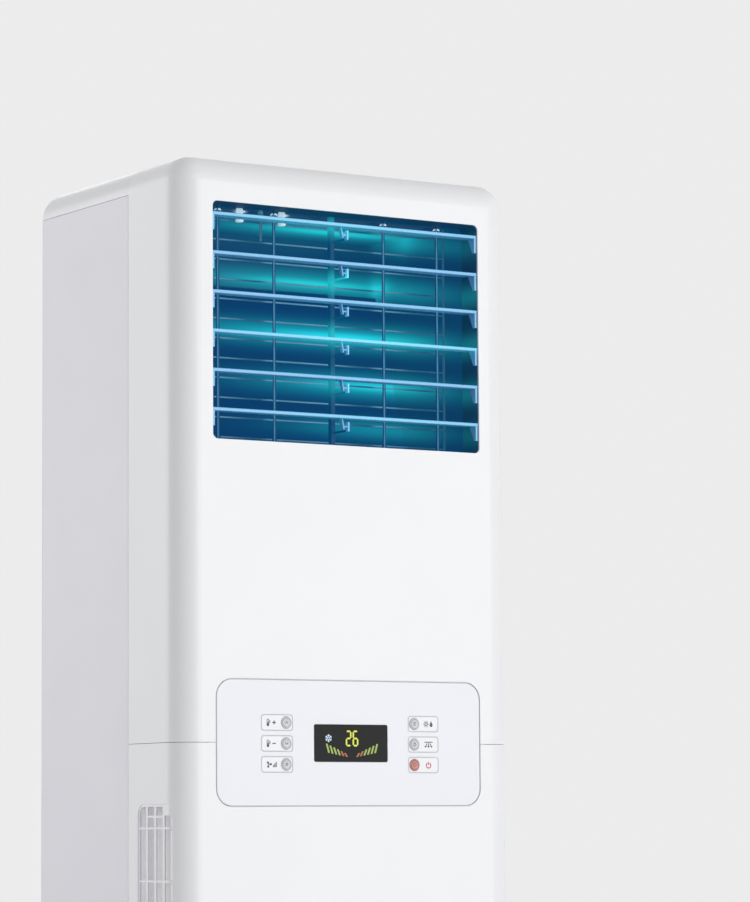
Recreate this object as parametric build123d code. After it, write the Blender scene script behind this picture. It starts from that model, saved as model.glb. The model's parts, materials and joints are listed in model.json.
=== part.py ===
from build123d import *
import os
from math import cos, radians, sin

os.makedirs("parts", exist_ok=True)

# A floor standing air conditioner: origin at the middle of its base, +Z up, front towards -Y.

# ---- overall cabinet (mm) ----
cabinet_w = 500.0
cabinet_d = 368.0  # over the buttons in front and the screw heads behind
cabinet_h = 1750.0
knob_proud = 1.5  # how far the buttons stand out of the front
screw_head_h = 2.0  # how far the screw heads stand out of the back panel
corner_r = 34.0  # front corners in plan
edge_ease = 1.0  # the top edge is rounded this much tighter than the front corners
skin = 2.5  # moulded covers
sheet = 1.0  # steel panels
seam = 0.5  # gap between neighbouring covers
fit = 0.3  # clearance between pieces that seat on each other
run = 0.05  # radial clearance of a pin in its hole

# ---- front covers ----
upper_h = 735.0  # height of the upper cover
cover_depth = 128.0  # how far both covers wrap round the sides
panel_step = 0.8  # side panels and top cap lie this far inside the covers
panel_gap = 2.2  # shadow gap between a side panel and the covers
cap_h = 37.0  # height of the top cap
panel_fold = 10.0  # folded front edge of a side panel
panel_tab_in = 20.0  # middle of a lower panel's tab to the start of the corner
panel_tab_w = 24.0
panel_tab_d = 16.0  # how far it reaches behind the front face
rear_fold = 15.0  # folded rear edge of a side panel
plinth_h = 66.0
plinth_step = 3.0  # the plinth stands back by this much
plinth_lift = 4.0  # its lower edge above the floor

# ---- side intake grille of the lower panel ----
slot_w = 16.0
slot_pitch = 21.2
slot_columns = 4
slot_front = 20.5  # from the front face to the first column
slot_top = 79.0  # below the seam
first_bar = 105.3  # first crossbar below the seam
bar_pitch = 65.4
bar_t = 2.5
grille_foot = 180.0  # least height of the lowest crossbar above the plinth
grille_corner_r = 13.0
arch_bar = 91.0  # short bar over the middle slots, below the seam
grille_border = 3.0
grille_recess = 0.8

# ---- outlet, its frame and the louvers ----
outlet_side = 50.0  # outlet to the cabinet's side
outlet_h = 300.0
outlet_top = 57.5  # outlet to the cabinet's top
outlet_r = 7.0
frame_depth = 38.0  # from the front face to the rear of the outlet frame
frame_wall = 2.5
frame_flange = 9.0
louver_count = 6
louver_top = 15.5  # first blade below the outlet's upper edge
louver_low = 37.5  # last blade above the outlet's lower edge
louver_front = 2.0  # blade's front edge behind the front face
louver_chord = 24.0
louver_reach = 7.0  # blade in front of its pivot
louver_t = 2.0
louver_lip = 4.2  # height of the blade's front lip
louver_lip_d = 2.2
louver_drop = 12.0  # pivot below the blade
louver_play = 0.8  # gap between a louver's end and the frame
end_plate_t = 3.0
end_plate_h = 21.0
end_plate_top = 15.5  # depth of the end plate under the blade
end_plate_foot = 4.5
louver_pin_r = 2.0
middle_pin_r = 1.2
crank_reach = 14.0  # pivot to link pin
link_pin_r = 1.5
link_bar_t = 3.0
link_bar_w = 5.0
post_w = 6.0
post_d = 7.0
lug_t = 2.0
lug_w = 5.0
lug_h = 12.0
lug_arm = 2.4
lug_gap = 2.6  # half gap between the louver's rib and the post's lug
rib_w = 6.0

# ---- vanes ----
vane_count = 4
vane_margin = 34.0
vane_pivot_depth = 46.5
vane_front = 7.0  # blade in front of its pivot
vane_rear = 41.0  # blade behind its pivot
vane_t = 1.8
vane_pin_r = 2.0
vane_boss_r = 3.0
vane_boss_h = 10.0
vane_tab_h = 4.0
vane_rest = -32.0  # degrees about +Z at rest, 0 blows straight ahead
vane_lever = 20.0  # pivot to link pin
vane_top_gap = 9.0  # room for the link rod above the vanes
rod_w = 6.0
rod_t = 2.4
clip_r = 4.4
clip_h = 20.0
clip_foot = 4.0  # height of the clip's wider foot
crank_stem = 32.0  # stem of the swing crank below its lever
crank_stem_r = 1.8
spindle_r = 2.5
swing_motor_r = 14.0
swing_motor_h = 19.0

# ---- duct, guard and heat exchanger ----
duct_side = 12.0  # the duct is this much wider than the outlet at each side
duct_wall = 3.0
duct_above = 8.0
duct_below = 3.0
guard_depth = 98.0
guard_pitch = 25.5
guard_first = 14.0  # lowest wire above the outlet's lower edge
guard_wire_r = 1.1
coil_side = 35.2  # coil to the side panel
coil_t = 44.0
coil_l = 560.0
coil_lean = 19.0  # degrees from vertical, top towards the back
coil_front = 104.5  # middle of the coil's lower end behind the front face
coil_rise = 32.0  # the same above the partition
end_sheet = 1.2
end_lip = 3.0  # end sheets stand this far out of the fin pack
fin_pitch = 9.0
fin_gap = 3.0
fin_groove = 6.0
tube_r = 3.5
tube_pitch = 25.4
tube_row = 22.0
partition_rise = 45.0  # upper face of the partition above the seam
tray_t = 1.5  # steel of the partition, the base tray and the motor bracket
pan_h = 30.0
pan_wall = 2.0
pan_side = 12.2  # drain pan to the side panel
pan_front = 50.5  # drain pan behind the front face
pan_d = 88.0

# ---- blower ----
scroll_side = 17.0  # scroll to the filter
scroll_grow = 16.0  # growth of the scroll's radius each quarter turn
scroll_wall = 2.5
scroll_d = 136.0
motor_room = 69.0  # scroll to the back panel
scroll_lift = 28.5  # scroll above the electrical box
flare = 0.7  # height of the mouth's straight part, as a share of the whole rise
tongue_gap = 20.0  # blower wheel to the scroll at its tightest
wheel_gap = 32.0  # the wheel is this much narrower than the scroll
blade_count = 40
blade_chord = 28.0
blade_t = 1.6
blade_lead = 36.6  # by which a blade's tip leads its root, along the rim
wheel_disc_t = 2.0
hub_r = 24.0
hub_l = 34.0
hub_disc_r = 46.0
hub_disc_t = 6.0
inlet_step = 38.0  # the inlet is this much smaller than the wheel, in radius
bell_r = 18.0
bell_t = 2.0
bell_flange = 8.0
shaft_r = 6.0
motor_r = 62.0
motor_l = 54.0
motor_boss_r = 20.0
ear_l = 24.0
ear_w = 18.0
ear_t = 4.0
bracket_w = 260.0
bracket_h = 220.0
bracket_foot = 20.0

# ---- control fascia ----
fascia_side = 54.0  # fascia to the cabinet's side
fascia_h = 157.0
fascia_r = 22.0
fascia_gap = 1.2
fascia_edge_r = 1.0
fascia_wall_d = 11.0
window_w = 109.5
window_h = 47.0
window_r = 2.5
window_t = 2.0
window_ledge = 3.0
knob_r = 7.5
knob_x = 95.5
knob_z = (25.2, -0.9, -27.0)  # from the seam
knob_play = 0.3
knob_travel = 0.8
knob_flange = 1.8
stem_r = 2.0
label_w = 46.0
label_h = 20.0
label_in = 9.5  # label's inner end from the knob's axis
label_t = 0.8
label_r = 4.0
board_depth = 15.0
board_t = 1.6
board_side = 20.0  # board to the fascia's side
board_end = 15.0  # board to the fascia's upper and lower edges
switch_w = 6.0
switch_h = 3.0
connector_w = 40.0
connector_h = 12.0
connector_t = 9.0
boss_r = 4.0
boss_side = 30.0
boss_end = 22.0

# ---- base ----
foot_h = 8.0
foot_r = 20.0
foot_side = 50.0  # foot's middle to the cabinet's side
foot_end = 44.0  # foot's middle to its front and back
tray_low = 6.0  # the tray's rim below the plinth's top
bolt_side = 70.0  # floor bolt to the cabinet's side
bolt_end = 94.0  # floor bolt to its front and back
bolt_r = 4.5

# ---- filters ----
filter_t = 7.0
filter_side = 15.2  # filter's middle to the side panel
filter_front = 14.0  # behind the front face
filter_w = 112.0
filter_over = 14.7  # the filter reaches this much past the grille
filter_rib = 6.0
filter_rows = 8
mesh_t = 0.8
rail_t = 5.0

# ---- pipes and electrics ----
suction_r = 6.35
liquid_r = 3.2
pipe_bend = 2.4  # bend radius in pipe radii
pipe_side = 12.2  # pipes to the side panel
suction_back = 29.0  # gas pipe to the back panel
liquid_back = 49.0
pipe_end_z = 360.0
nut_wall = 3.4
nut_l = 22.0
hose_r = 7.0
hose_bore = 5.5
hose_bend = 8.5
hose_side = 28.2
hose_back = 13.0
hose_end_z = 300.0
spout_l = 14.0
spout_wall = 1.2
pipe_hole_r = 34.0
pipe_hole_side = 98.2
pipe_hole_rise = 124.0  # above the plinth
grommet_t = 4.0
grommet_lip = 5.0
gland_x = -10.0
gland_rise = 35.0  # above the electrical box's floor
gland_bore = 5.5
gland_r = 10.0
box_side = 48.2  # electrical box to the left side panel
box_gap = 80.0  # electrical box to the pipe hole's middle
box_rise = 29.0  # above the plinth
box_h = 200.0
box_d = 84.0
stud_r = 3.0
stud_l = 10.0
stud_inset = 20.0
board_inset = 10.0
capacitor_r = 16.0
capacitor_h = 60.0
transformer_w = 50.0
transformer_h = 45.0
transformer_d = 40.0
relay_w = 19.0
relay_h = 28.0
relay_d = 20.0
relay_pitch = 26.0
relay_count = 3
terminal_pitch = 22.0
terminal_count = 5
terminal_h = 34.0
wall_hole_x = 150.0  # half spacing of the wall fixing holes
wall_hole_top = 110.0  # below the cabinet's top
wall_hole_r = 3.5
bead_h = 12.0  # stiffening beads of the back panel
screw_r = 4.0
screw_rows = 6

# ---- worked out from the sizes above ----
front_y = -cabinet_d / 2 + knob_proud
rear_y = cabinet_d / 2 - screw_head_h
back_in_y = rear_y - sheet
inner_front_y = front_y + skin
cover_back_y = front_y + cover_depth
half_w = cabinet_w / 2
side_out = half_w - panel_step
side_in = side_out - sheet
top_r = corner_r - edge_ease
seam_z = cabinet_h - upper_h
cap_z = cabinet_h - cap_h
first_bar_z = seam_z - first_bar
bar_count = int((first_bar_z - plinth_h - grille_foot) / bar_pitch) + 1
last_bar_z = first_bar_z - (bar_count - 1) * bar_pitch
outlet_w = cabinet_w - 2 * outlet_side
outlet_top_z = cabinet_h - outlet_top
outlet_z = outlet_top_z - outlet_h
outlet_mid_z = outlet_z + outlet_h / 2
frame_y0 = inner_front_y + fit
frame_y1 = front_y + frame_depth
louver_pitch = (outlet_h - louver_top - louver_low) / (louver_count - 1)
louver_y = front_y + louver_front + louver_reach
vane_pitch = (outlet_w - 2 * vane_margin) / vane_count
swing_gap = 20.0  # from the swing crank's spindle to the next vane's
clip_gap = 31.5  # from a clip of the link rod to the crank's pin
vane_y = front_y + vane_pivot_depth
duct_half = outlet_w / 2 + duct_side
duct_top_z = outlet_top_z + duct_above
duct_low_z = outlet_z - duct_below
vane_top_z = duct_top_z - vane_top_gap
partition_z = seam_z + partition_rise
coil_half_w = side_in - coil_side
coil_y = front_y + coil_front
coil_z = partition_z + coil_rise
pan_top_z = partition_z + pan_h
pan_front_y = front_y + pan_front
pan_rear_y = pan_front_y + pan_d
pan_half_w = side_in - pan_side
filter_x = side_in - filter_side
filter_low = last_bar_z - filter_over
filter_high = seam_z - slot_top + rail_t
box_x0 = box_side - side_in
box_z0 = plinth_h + box_rise
box_z1 = box_z0 + box_h
scroll_mouth = filter_x - filter_t / 2 - scroll_side
scroll_r = scroll_mouth - scroll_wall - 2.5 * scroll_grow
scroll_y1 = back_in_y - motor_room
scroll_y0 = scroll_y1 - scroll_d
fan_z = box_z1 + scroll_lift + scroll_wall + scroll_r + 1.5 * scroll_grow
impeller_r = scroll_r - tongue_gap
inlet_r = impeller_r - inlet_step
impeller_y0 = scroll_y0 + scroll_wall + bell_r - hub_disc_t
impeller_y1 = impeller_y0 + scroll_d - wheel_gap
motor_y = scroll_y1 + tray_t
fascia_w = cabinet_w - 2 * fascia_side
foot_x = half_w - foot_side
foot_y = cabinet_d / 2 - foot_end
bolt_x = half_w - bolt_side
bolt_y = cabinet_d / 2 - bolt_end
pipe_x = side_in - pipe_side
suction_y = back_in_y - suction_back
liquid_y = back_in_y - liquid_back
hose_x = side_in - hose_side
hose_y = back_in_y - hose_back
pipe_hole_x = side_in - pipe_hole_side
pipe_hole_z = plinth_h + pipe_hole_rise
box_x1 = pipe_hole_x - box_gap
gland_z = box_z0 + gland_rise
wall_hole_z = cabinet_h - wall_hole_top
knob_spots = [(side * knob_x, seam_z + dz) for side in (-1, 1) for dz in knob_z]


def block(x0, x1, y0, y1, z0, z1):
    """Box between two corners."""
    return Pos((x0 + x1) / 2, (y0 + y1) / 2, (z0 + z1) / 2) * Box(x1 - x0, y1 - y0, z1 - z0)


def rod_x(r, x0, x1, y, z):
    """Round bar along X."""
    return Pos((x0 + x1) / 2, y, z) * Rot(0, 90, 0) * Cylinder(r, x1 - x0)


def rod_y(r, y0, y1, x, z):
    """Round bar along Y."""
    return Pos(x, (y0 + y1) / 2, z) * Rot(90, 0, 0) * Cylinder(r, y1 - y0)


def rod_z(r, z0, z1, x, y):
    """Round bar along Z."""
    return Pos(x, y, (z0 + z1) / 2) * Cylinder(r, z1 - z0)


def front_slab(w, h, r, x, z, y0, y1):
    """Slab with rounded corners, facing the front, between y0 and y1."""
    plane = Plane(origin=(x, y0, z), x_dir=(1, 0, 0), z_dir=(0, -1, 0))
    return extrude(plane * RectangleRounded(w, h, r), amount=y0 - y1)


def yz_prism(points, x0, x1):
    """Outline given in (y, z), run from x0 to x1."""
    plane = Plane(origin=(x0, 0, 0), x_dir=(0, 1, 0), z_dir=(1, 0, 0))
    return extrude(plane * make_face(Polyline(*points, close=True)), amount=x1 - x0)


def mirrored(solid):
    """The same piece at the other side."""
    return mirror(solid, Plane.YZ)


def pipe(points, radii, r, bore=0.0):
    """Bent pipe of straight runs and tangent arcs."""
    path = FilletPolyline(*points, radius=radii)
    section = Plane(origin=path @ 0, z_dir=path % 0)
    solid = sweep(section * Circle(r), path=path)
    if bore:
        solid -= sweep(section * Circle(bore), path=path)
    return solid


def hood(inset):
    """Outer form of the cabinet, moved in by inset."""
    side = half_w - inset
    form = block(-side, side, front_y + inset, rear_y - inset, 0, cabinet_h - inset)
    form = fillet(form.edges().filter_by(Axis.Z).group_by(Axis.Y)[0], corner_r - inset)
    return fillet(form.faces().sort_by(Axis.Z)[-1].edges(), top_r - inset)


def shell(inset, wall, y0, y1, z0, z1):
    """Stretch of the cabinet's skin between two depths and two heights."""
    room = block(-half_w, half_w, y0, y1, z0, z1)
    return (hood(inset) & room) - hood(inset + wall)


# ---------------------------------------------------------------- covers and panels
def upper_front_cover():
    z0 = seam_z + seam / 2
    cover = shell(0, skin, front_y, cover_back_y, z0, cabinet_h)
    cover -= front_slab(outlet_w, outlet_h, outlet_r, 0, outlet_mid_z, front_y - 1, frame_y0 + 1)
    cover -= fascia_hole()
    for side in (-1, 1):
        x0, x1 = sorted((side * (fascia_w / 2 + 12), side * (half_w - corner_r)))
        cover += block(x0, x1, inner_front_y, inner_front_y + 12, z0, z0 + skin)
    return cover


def fascia_hole():
    """Cut for the control fascia, across the joint of both covers."""
    w = fascia_w + 2 * fascia_gap
    h = fascia_h + 2 * fascia_gap
    return front_slab(w, h, fascia_r + fascia_gap, 0, seam_z, front_y - 1, inner_front_y + 1)


def grille_slots(x0, x1):
    """Air slots of one flank, the outer columns with a rounded upper corner."""
    top = seam_z - slot_top
    arch_z = seam_z - arch_bar
    half = bar_t / 2
    bars = [first_bar_z - row * bar_pitch for row in range(bar_count)]
    rows = [(low + half, high - half) for high, low in zip(bars, bars[1:])]
    slots = []
    for column in range(slot_columns):
        y0 = front_y + slot_front + column * slot_pitch
        y1 = y0 + slot_w
        upper = bars[0] + half
        if column == 0:
            slot = block(x0, x1, y0, y1, upper, arch_z + half)
            corner = slot.edges().filter_by(Axis.X).group_by(Axis.Z)[-1].sort_by(Axis.Y)[0]
            slots.append(fillet(corner, grille_corner_r / 2))
        elif column == slot_columns - 1:
            slot = block(x0, x1, y0, y1, upper, top)
            corner = slot.edges().filter_by(Axis.X).group_by(Axis.Z)[-1].sort_by(Axis.Y)[-1]
            slots.append(fillet(corner, grille_corner_r - grille_border))
        else:
            slots.append(block(x0, x1, y0, y1, upper, arch_z - half))
            slots.append(block(x0, x1, y0, y1, arch_z + half, top))
        slots += [block(x0, x1, y0, y1, low, high) for low, high in rows]
    return slots


def filter_rail(z, opening):
    """Channel on the left flank that takes one end of a filter, open towards z."""
    y0 = front_y + filter_front - fit - rail_t
    y1 = cover_back_y - rail_t
    x0 = filter_x - filter_t / 2 - fit - rail_t / 2
    body = block(x0, half_w - skin / 2, y0, y1, *sorted((z - opening * rail_t, z + opening * rail_t)))
    half = filter_t / 2 + fit
    channel = sorted((z - opening * fit, z + opening * 2 * rail_t))
    body &= hood(skin / 2)
    return body - block(filter_x - half, filter_x + half, y0 + rail_t, y1 + 1, *channel)


def lower_front_panel():
    z0 = plinth_h + seam
    z1 = seam_z - seam / 2
    panel = shell(0, skin, front_y, cover_back_y, z0, z1)
    panel -= fascia_hole()
    width = (slot_columns - 1) * slot_pitch + slot_w
    y0 = front_y + slot_front - grille_border
    y1 = y0 + width + 2 * grille_border
    top = seam_z - slot_top + grille_border
    field = block(half_w - grille_recess, half_w + 1, y0, y1, last_bar_z - grille_border, top)
    field = fillet(field.edges().filter_by(Axis.X), grille_corner_r)
    flank = [field] + grille_slots(half_w - skin - 1, half_w + 1)
    panel -= flank + [mirrored(piece) for piece in flank]
    rails = filter_rail(filter_low, 1) + filter_rail(filter_high, -1)
    panel += [rails, mirrored(rails)]
    for side in (-1, 1):
        x = side * (half_w - corner_r - panel_tab_in)
        low = x - panel_tab_w / 2
        panel += block(low, low + panel_tab_w, front_y + skin / 2, front_y + panel_tab_d, z0, z0 + skin)
    return panel


def top_cap():
    y0 = cover_back_y + seam
    return shell(panel_step, skin, y0, rear_y, cap_z + seam / 2, cabinet_h)


def side_panel():
    """Right hand panel, folded in at its front and rear edges."""
    y0 = cover_back_y + panel_gap
    z0 = foot_h + 4
    z1 = cap_z - seam / 2
    panel = block(side_in, side_out, y0, back_in_y - fit, z0, z1)
    panel += block(side_out - panel_fold, side_out, y0, y0 + sheet, plinth_h, z1)
    panel += block(side_out - rear_fold, side_out, back_in_y - fit - sheet, back_in_y - fit, z0, z1)
    return panel


def back_panel():
    z0 = foot_h + 4
    z1 = cap_z - seam / 2
    panel = block(-side_out, side_out, back_in_y, rear_y, z0, z1)
    panel -= rod_y(pipe_hole_r, back_in_y - 1, rear_y + 1, pipe_hole_x, pipe_hole_z)
    panel -= rod_y(gland_r - 2, back_in_y - 1, rear_y + 1, gland_x, gland_z)
    for side in (-1, 1):
        panel -= rod_y(wall_hole_r, back_in_y - 1, rear_y + 1, side * wall_hole_x, wall_hole_z)
    y1 = back_in_y + sheet / 2
    for share in (0.25, 0.5, 0.75):
        z = share * cabinet_h
        panel -= front_slab(cabinet_w * 0.6, bead_h, bead_h * 0.4, 0, z, back_in_y - 1, y1)
    return panel


def panel_screws():
    """Pan head screws round the back panel."""
    step = (cap_z - 2 * plinth_h) / (screw_rows - 1)
    y = rear_y + screw_head_h
    arm = screw_r * 0.65
    groove = screw_r * 0.125
    screws = []
    for side in (-1, 1):
        for row in range(screw_rows):
            x = side * (side_out - rear_fold / 2)
            z = plinth_h + row * step
            head = rod_y(screw_r, rear_y, y, x, z)
            head = fillet(head.faces().sort_by(Axis.Y)[-1].edges(), screw_head_h * 0.6)
            slot = block(x - arm, x + arm, y - screw_head_h * 0.4, y + 1, z - groove, z + groove)
            cross = block(x - groove, x + groove, y - screw_head_h * 0.4, y + 1, z - arm, z + arm)
            screws.append(head - slot - cross)
    return Compound(children=screws)


def plinth():
    z1 = plinth_h
    return shell(plinth_step, skin, front_y, cover_back_y, plinth_lift, z1)


def pan_form(inset, z0, z1):
    """Outline of the tray: rounded inside the plinth, wider between the side panels."""
    y1 = back_in_y - 2 * fit - sheet - inset
    wide = side_in - fit - inset
    front = plinth_step + skin + fit + inset
    form = hood(front) & block(-half_w, half_w, front_y, cover_back_y + 2 * seam + sheet, z0, z1)
    return form + block(-wide, wide, cover_back_y + seam + inset, y1, z0, z1)


def base_pan():
    """Steel tray on the feet, with the floor bolt holes."""
    tray = pan_form(0, foot_h, plinth_h - tray_low) - pan_form(tray_t, foot_h + tray_t, plinth_h)
    for x in (-bolt_x, bolt_x):
        for y in (-bolt_y, bolt_y):
            tray -= rod_z(bolt_r, foot_h - 1, foot_h + 2 * tray_t, x, y)
    return tray


def rubber_feet():
    feet = []
    for x in (-foot_x, foot_x):
        for y in (-foot_y, foot_y):
            foot = rod_z(foot_r, 0, foot_h, x, y)
            feet.append(chamfer(foot.faces().sort_by(Axis.Z)[0].edges(), 1.5))
    return Compound(children=feet)


# ---------------------------------------------------------------- control fascia
def control_fascia():
    y1 = front_y + skin
    face = front_slab(fascia_w, fascia_h, fascia_r, 0, seam_z, front_y, y1 + fascia_wall_d)
    face = fillet(face.faces().sort_by(Axis.Y)[0].edges(), fascia_edge_r)
    inner_w = fascia_w - 2 * skin
    inner_h = fascia_h - 2 * skin
    face -= front_slab(inner_w, inner_h, fascia_r - skin, 0, seam_z, y1, y1 + fascia_wall_d + 1)
    rim_w = fascia_w + 2 * frame_flange
    rim_h = fascia_h + 2 * frame_flange
    rim = front_slab(rim_w, rim_h, fascia_r + frame_flange, 0, seam_z, y1 + fit, y1 + fit + 2)
    rim -= front_slab(fascia_w - skin, fascia_h - skin, fascia_r - skin / 2, 0, seam_z, y1, y1 + 4)
    face += rim
    face -= front_slab(window_w + fit, window_h + fit, window_r, 0, seam_z, front_y - 1, front_y + window_t)
    ledge = 2 * window_ledge
    face -= front_slab(window_w - ledge, window_h - ledge, window_r, 0, seam_z, front_y, y1 + 1)
    for x, z in knob_spots:
        face -= label_form(x, z, fit / 2, front_y - 1, front_y + label_t)
        face -= rod_y(knob_r + knob_play, front_y - 1, y1 + 1, x, z)
    for x in (-1, 1):
        for z in (-1, 1):
            spot = (x * (fascia_w / 2 - boss_side), seam_z + z * (fascia_h / 2 - boss_end))
            face += rod_y(boss_r, y1 - 1, front_y + board_depth, *spot)
    return face


def label_form(x, z, grow, y0, y1):
    """Rounded plate round a button, longer away from the middle."""
    side = 1 if x > 0 else -1
    middle = x + side * (label_w / 2 - label_in)
    return front_slab(label_w + 2 * grow, label_h + 2 * grow, label_r, middle, z, y0, y1)


def label_plates():
    plates = []
    for x, z in knob_spots:
        plate = label_form(x, z, 0, front_y, front_y + label_t)
        plates.append(plate - rod_y(knob_r + knob_play, front_y - 1, front_y + skin, x, z))
    return Compound(children=plates)


def display_window():
    return front_slab(window_w, window_h, window_r, 0, seam_z, front_y, front_y + window_t)


def button(x, z):
    """Round button, its flange behind the fascia and its stem towards the switch."""
    y_plate = front_y + skin
    knob = rod_y(knob_r, front_y - knob_proud, y_plate + fit + 1, x, z)
    knob = fillet(knob.faces().sort_by(Axis.Y)[0].edges(), 1.0)
    knob += rod_y(knob_r + knob_flange, y_plate + fit, y_plate + fit + 1.2, x, z)
    knob += rod_y(stem_r, y_plate, front_y + board_depth - switch_h - 1 - knob_travel - fit, x, z)
    return knob


def control_board():
    """Board behind the fascia with its six switches and the display module."""
    y0 = front_y + board_depth
    w = fascia_w - 2 * board_side
    h = fascia_h - 2 * board_end
    board = [front_slab(w, h, label_r, 0, seam_z, y0, y0 + board_t)]
    half = switch_w / 2
    for x, z in knob_spots:
        switch = block(x - half, x + half, y0 - switch_h, y0, z - half, z + half)
        board.append(switch + rod_y(half * 0.6, y0 - switch_h - 1, y0 - 1, x, z))
    module_y = front_y + skin + fit
    board.append(front_slab(window_w - 2, window_h - 2, window_r, 0, seam_z, module_y, y0))
    x1 = w / 2 - connector_h
    z0 = seam_z - h / 2 + connector_h
    y1 = y0 + board_t
    board.append(block(x1 - connector_w, x1, y1, y1 + connector_t, z0, z0 + connector_h))
    return Compound(children=board)


# ---------------------------------------------------------------- outlet
def louver_z(number):
    """Height of a louver's pivot, number 0 at the top."""
    return outlet_top_z - louver_top - louver_drop - number * louver_pitch


def outlet_frame():
    mid = (0, outlet_mid_z)
    wall = 2 * frame_wall
    r = outlet_r + frame_wall
    frame = front_slab(outlet_w + wall, outlet_h + wall, r, *mid, frame_y0, frame_y1)
    flange = 2 * frame_flange
    rim = front_slab(outlet_w + flange, outlet_h + flange, r + 4, *mid, frame_y0, frame_y0 + 2)
    back_w = 2 * (duct_half + duct_wall)
    back = block(-back_w / 2, back_w / 2, frame_y1 - 2, frame_y1, duct_low_z - 3, duct_top_z + 3)
    frame += [rim, back]
    frame -= front_slab(outlet_w, outlet_h, outlet_r, *mid, frame_y0 - 1, frame_y1 + 1)
    for number in range(louver_count):
        z = louver_z(number)
        frame -= rod_x(louver_pin_r + run, -half_w, half_w, louver_y, z)
    return frame


def louver(number):
    """Blade with a front lip, tapered end plates, a rib in the middle and a lever for the link bar."""
    z = louver_z(number)
    y = louver_y
    end = outlet_w / 2 - louver_play
    blade_z = z + louver_drop
    front = y - louver_reach
    rear = front + louver_chord
    t = louver_t / 2
    blade = block(-end, end, front + 1, rear, blade_z - t, blade_z + t)
    lip = block(-end, end, front, front + louver_lip_d, blade_z - louver_lip / 2, blade_z + louver_lip / 2)
    blade += fillet(lip.edges().filter_by(Axis.X), louver_lip_d * 0.4)
    bar_in = end - end_plate_t - 2 - link_bar_t
    notch_y = y + crank_reach - louver_drop * 0.9
    blade -= block(-end + end_plate_t, -bar_in + 1.5, notch_y, rear + 1, z, blade_z + 3)
    foot_z = blade_z - end_plate_h
    top_y = front + 0.5
    plate = [(top_y, blade_z), (top_y + end_plate_top, blade_z)]
    plate += [(top_y + end_plate_foot, foot_z), (top_y, foot_z)]
    for side in (-1, 1):
        x0, x1 = sorted((side * end, side * (end - end_plate_t)))
        blade += yz_prism(plate, x0, x1)
        p0, p1 = sorted((side * (end - 1), side * (end + louver_play + frame_wall)))
        blade += rod_x(louver_pin_r, p0, p1, y, z)
    tip = y + crank_reach + 3
    lever = [(y - 3, z + 3.5), (tip, z + 3), (tip, z - 3), (y - 3, z - 3.5)]
    blade += yz_prism(lever, -end, -end + end_plate_t)
    blade += rod_x(link_pin_r, -end + 1, -bar_in + 1, y + crank_reach, z)
    rib = [(y + 2, blade_z), (y + 2 + rib_w, blade_z), (y + 2.5, z - 4), (y - 2.5, z - 4)]
    blade += yz_prism(rib, -lug_gap - lug_t, -lug_gap)
    blade += rod_x(middle_pin_r, -lug_gap - 1, lug_gap + lug_t, y, z)
    return blade


def louver_link_bar():
    """Upright bar at the left that ties the louvers' levers together."""
    end = outlet_w / 2 - louver_play - end_plate_t - 2
    y = louver_y + crank_reach
    low = louver_z(louver_count - 1) - 6
    half = link_bar_w / 2
    bar = block(-end, -end + link_bar_t, y - half, y + half, low, louver_z(0) + 6)
    for number in range(louver_count):
        bar -= rod_x(link_pin_r + run, -end - 1, 0, y, louver_z(number))
    return bar


def louver_post():
    """Upright behind the blades, with a lug for each louver's middle pin."""
    y0 = frame_y1 + fit
    post = block(-post_w / 2, post_w / 2, y0, y0 + post_d, duct_low_z + fit, duct_top_z - fit)
    x0 = lug_gap
    x1 = lug_gap + lug_t
    for number in range(louver_count):
        z = louver_z(number)
        foot = z - lug_h / 2
        lug = block(x0, x1, louver_y - lug_w / 2, louver_y + lug_w / 2, foot, z + lug_h / 2)
        lug += block(x0, x1, louver_y, y0 + 1, foot, foot + lug_arm)
        post += lug - rod_x(middle_pin_r + run, 0, x1 + 1, louver_y, z)
    return post


def vane_x(number):
    """The vanes stand either side of the louver post, none behind it."""
    half = vane_count // 2
    place = number - half if number < half else number - half + 1
    return place * vane_pitch


def turned(solid, x, y):
    """Turns a piece about an upright axis to the rest angle of the vanes."""
    return Pos(x, y, 0) * Rot(0, 0, vane_rest) * Pos(-x, -y, 0) * solid


def vane(number):
    """Upright vane with a tab above it for the link rod."""
    x = vane_x(number)
    y = vane_y
    low = duct_low_z + 2
    high = vane_top_z
    blade = block(x - vane_t / 2, x + vane_t / 2, y - vane_front, y + vane_rear, low, high)
    blade = fillet(blade.edges().filter_by(Axis.X), 3.0)
    blade += rod_z(vane_boss_r, low, low + vane_boss_h, x, y)
    blade += rod_z(vane_boss_r, high - vane_boss_h, high, x, y)
    blade += rod_z(vane_pin_r, duct_low_z - duct_wall, duct_top_z + duct_wall, x, y)
    tab = block(x - 3, x + 3, y + vane_lever - 6, y + vane_lever + 6, high - vane_tab_h, high)
    blade += fillet(tab.edges().filter_by(Axis.Z), 2.0)
    blade += rod_z(link_pin_r, high - 1, high + rod_t + 2, x, y + vane_lever)
    return turned(blade, x, y)


def link_spots():
    """Rest places of the link pins of the vanes and of the swing crank."""
    angle = radians(vane_rest)
    dx = -sin(angle) * vane_lever
    dy = cos(angle) * vane_lever
    axes = [vane_x(number) for number in range(vane_count)] + [swing_x()]
    return [(x + dx, vane_y + dy) for x in axes]


def swing_x():
    """The swing crank stands left of the second vane."""
    return vane_x(1) - swing_gap


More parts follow.
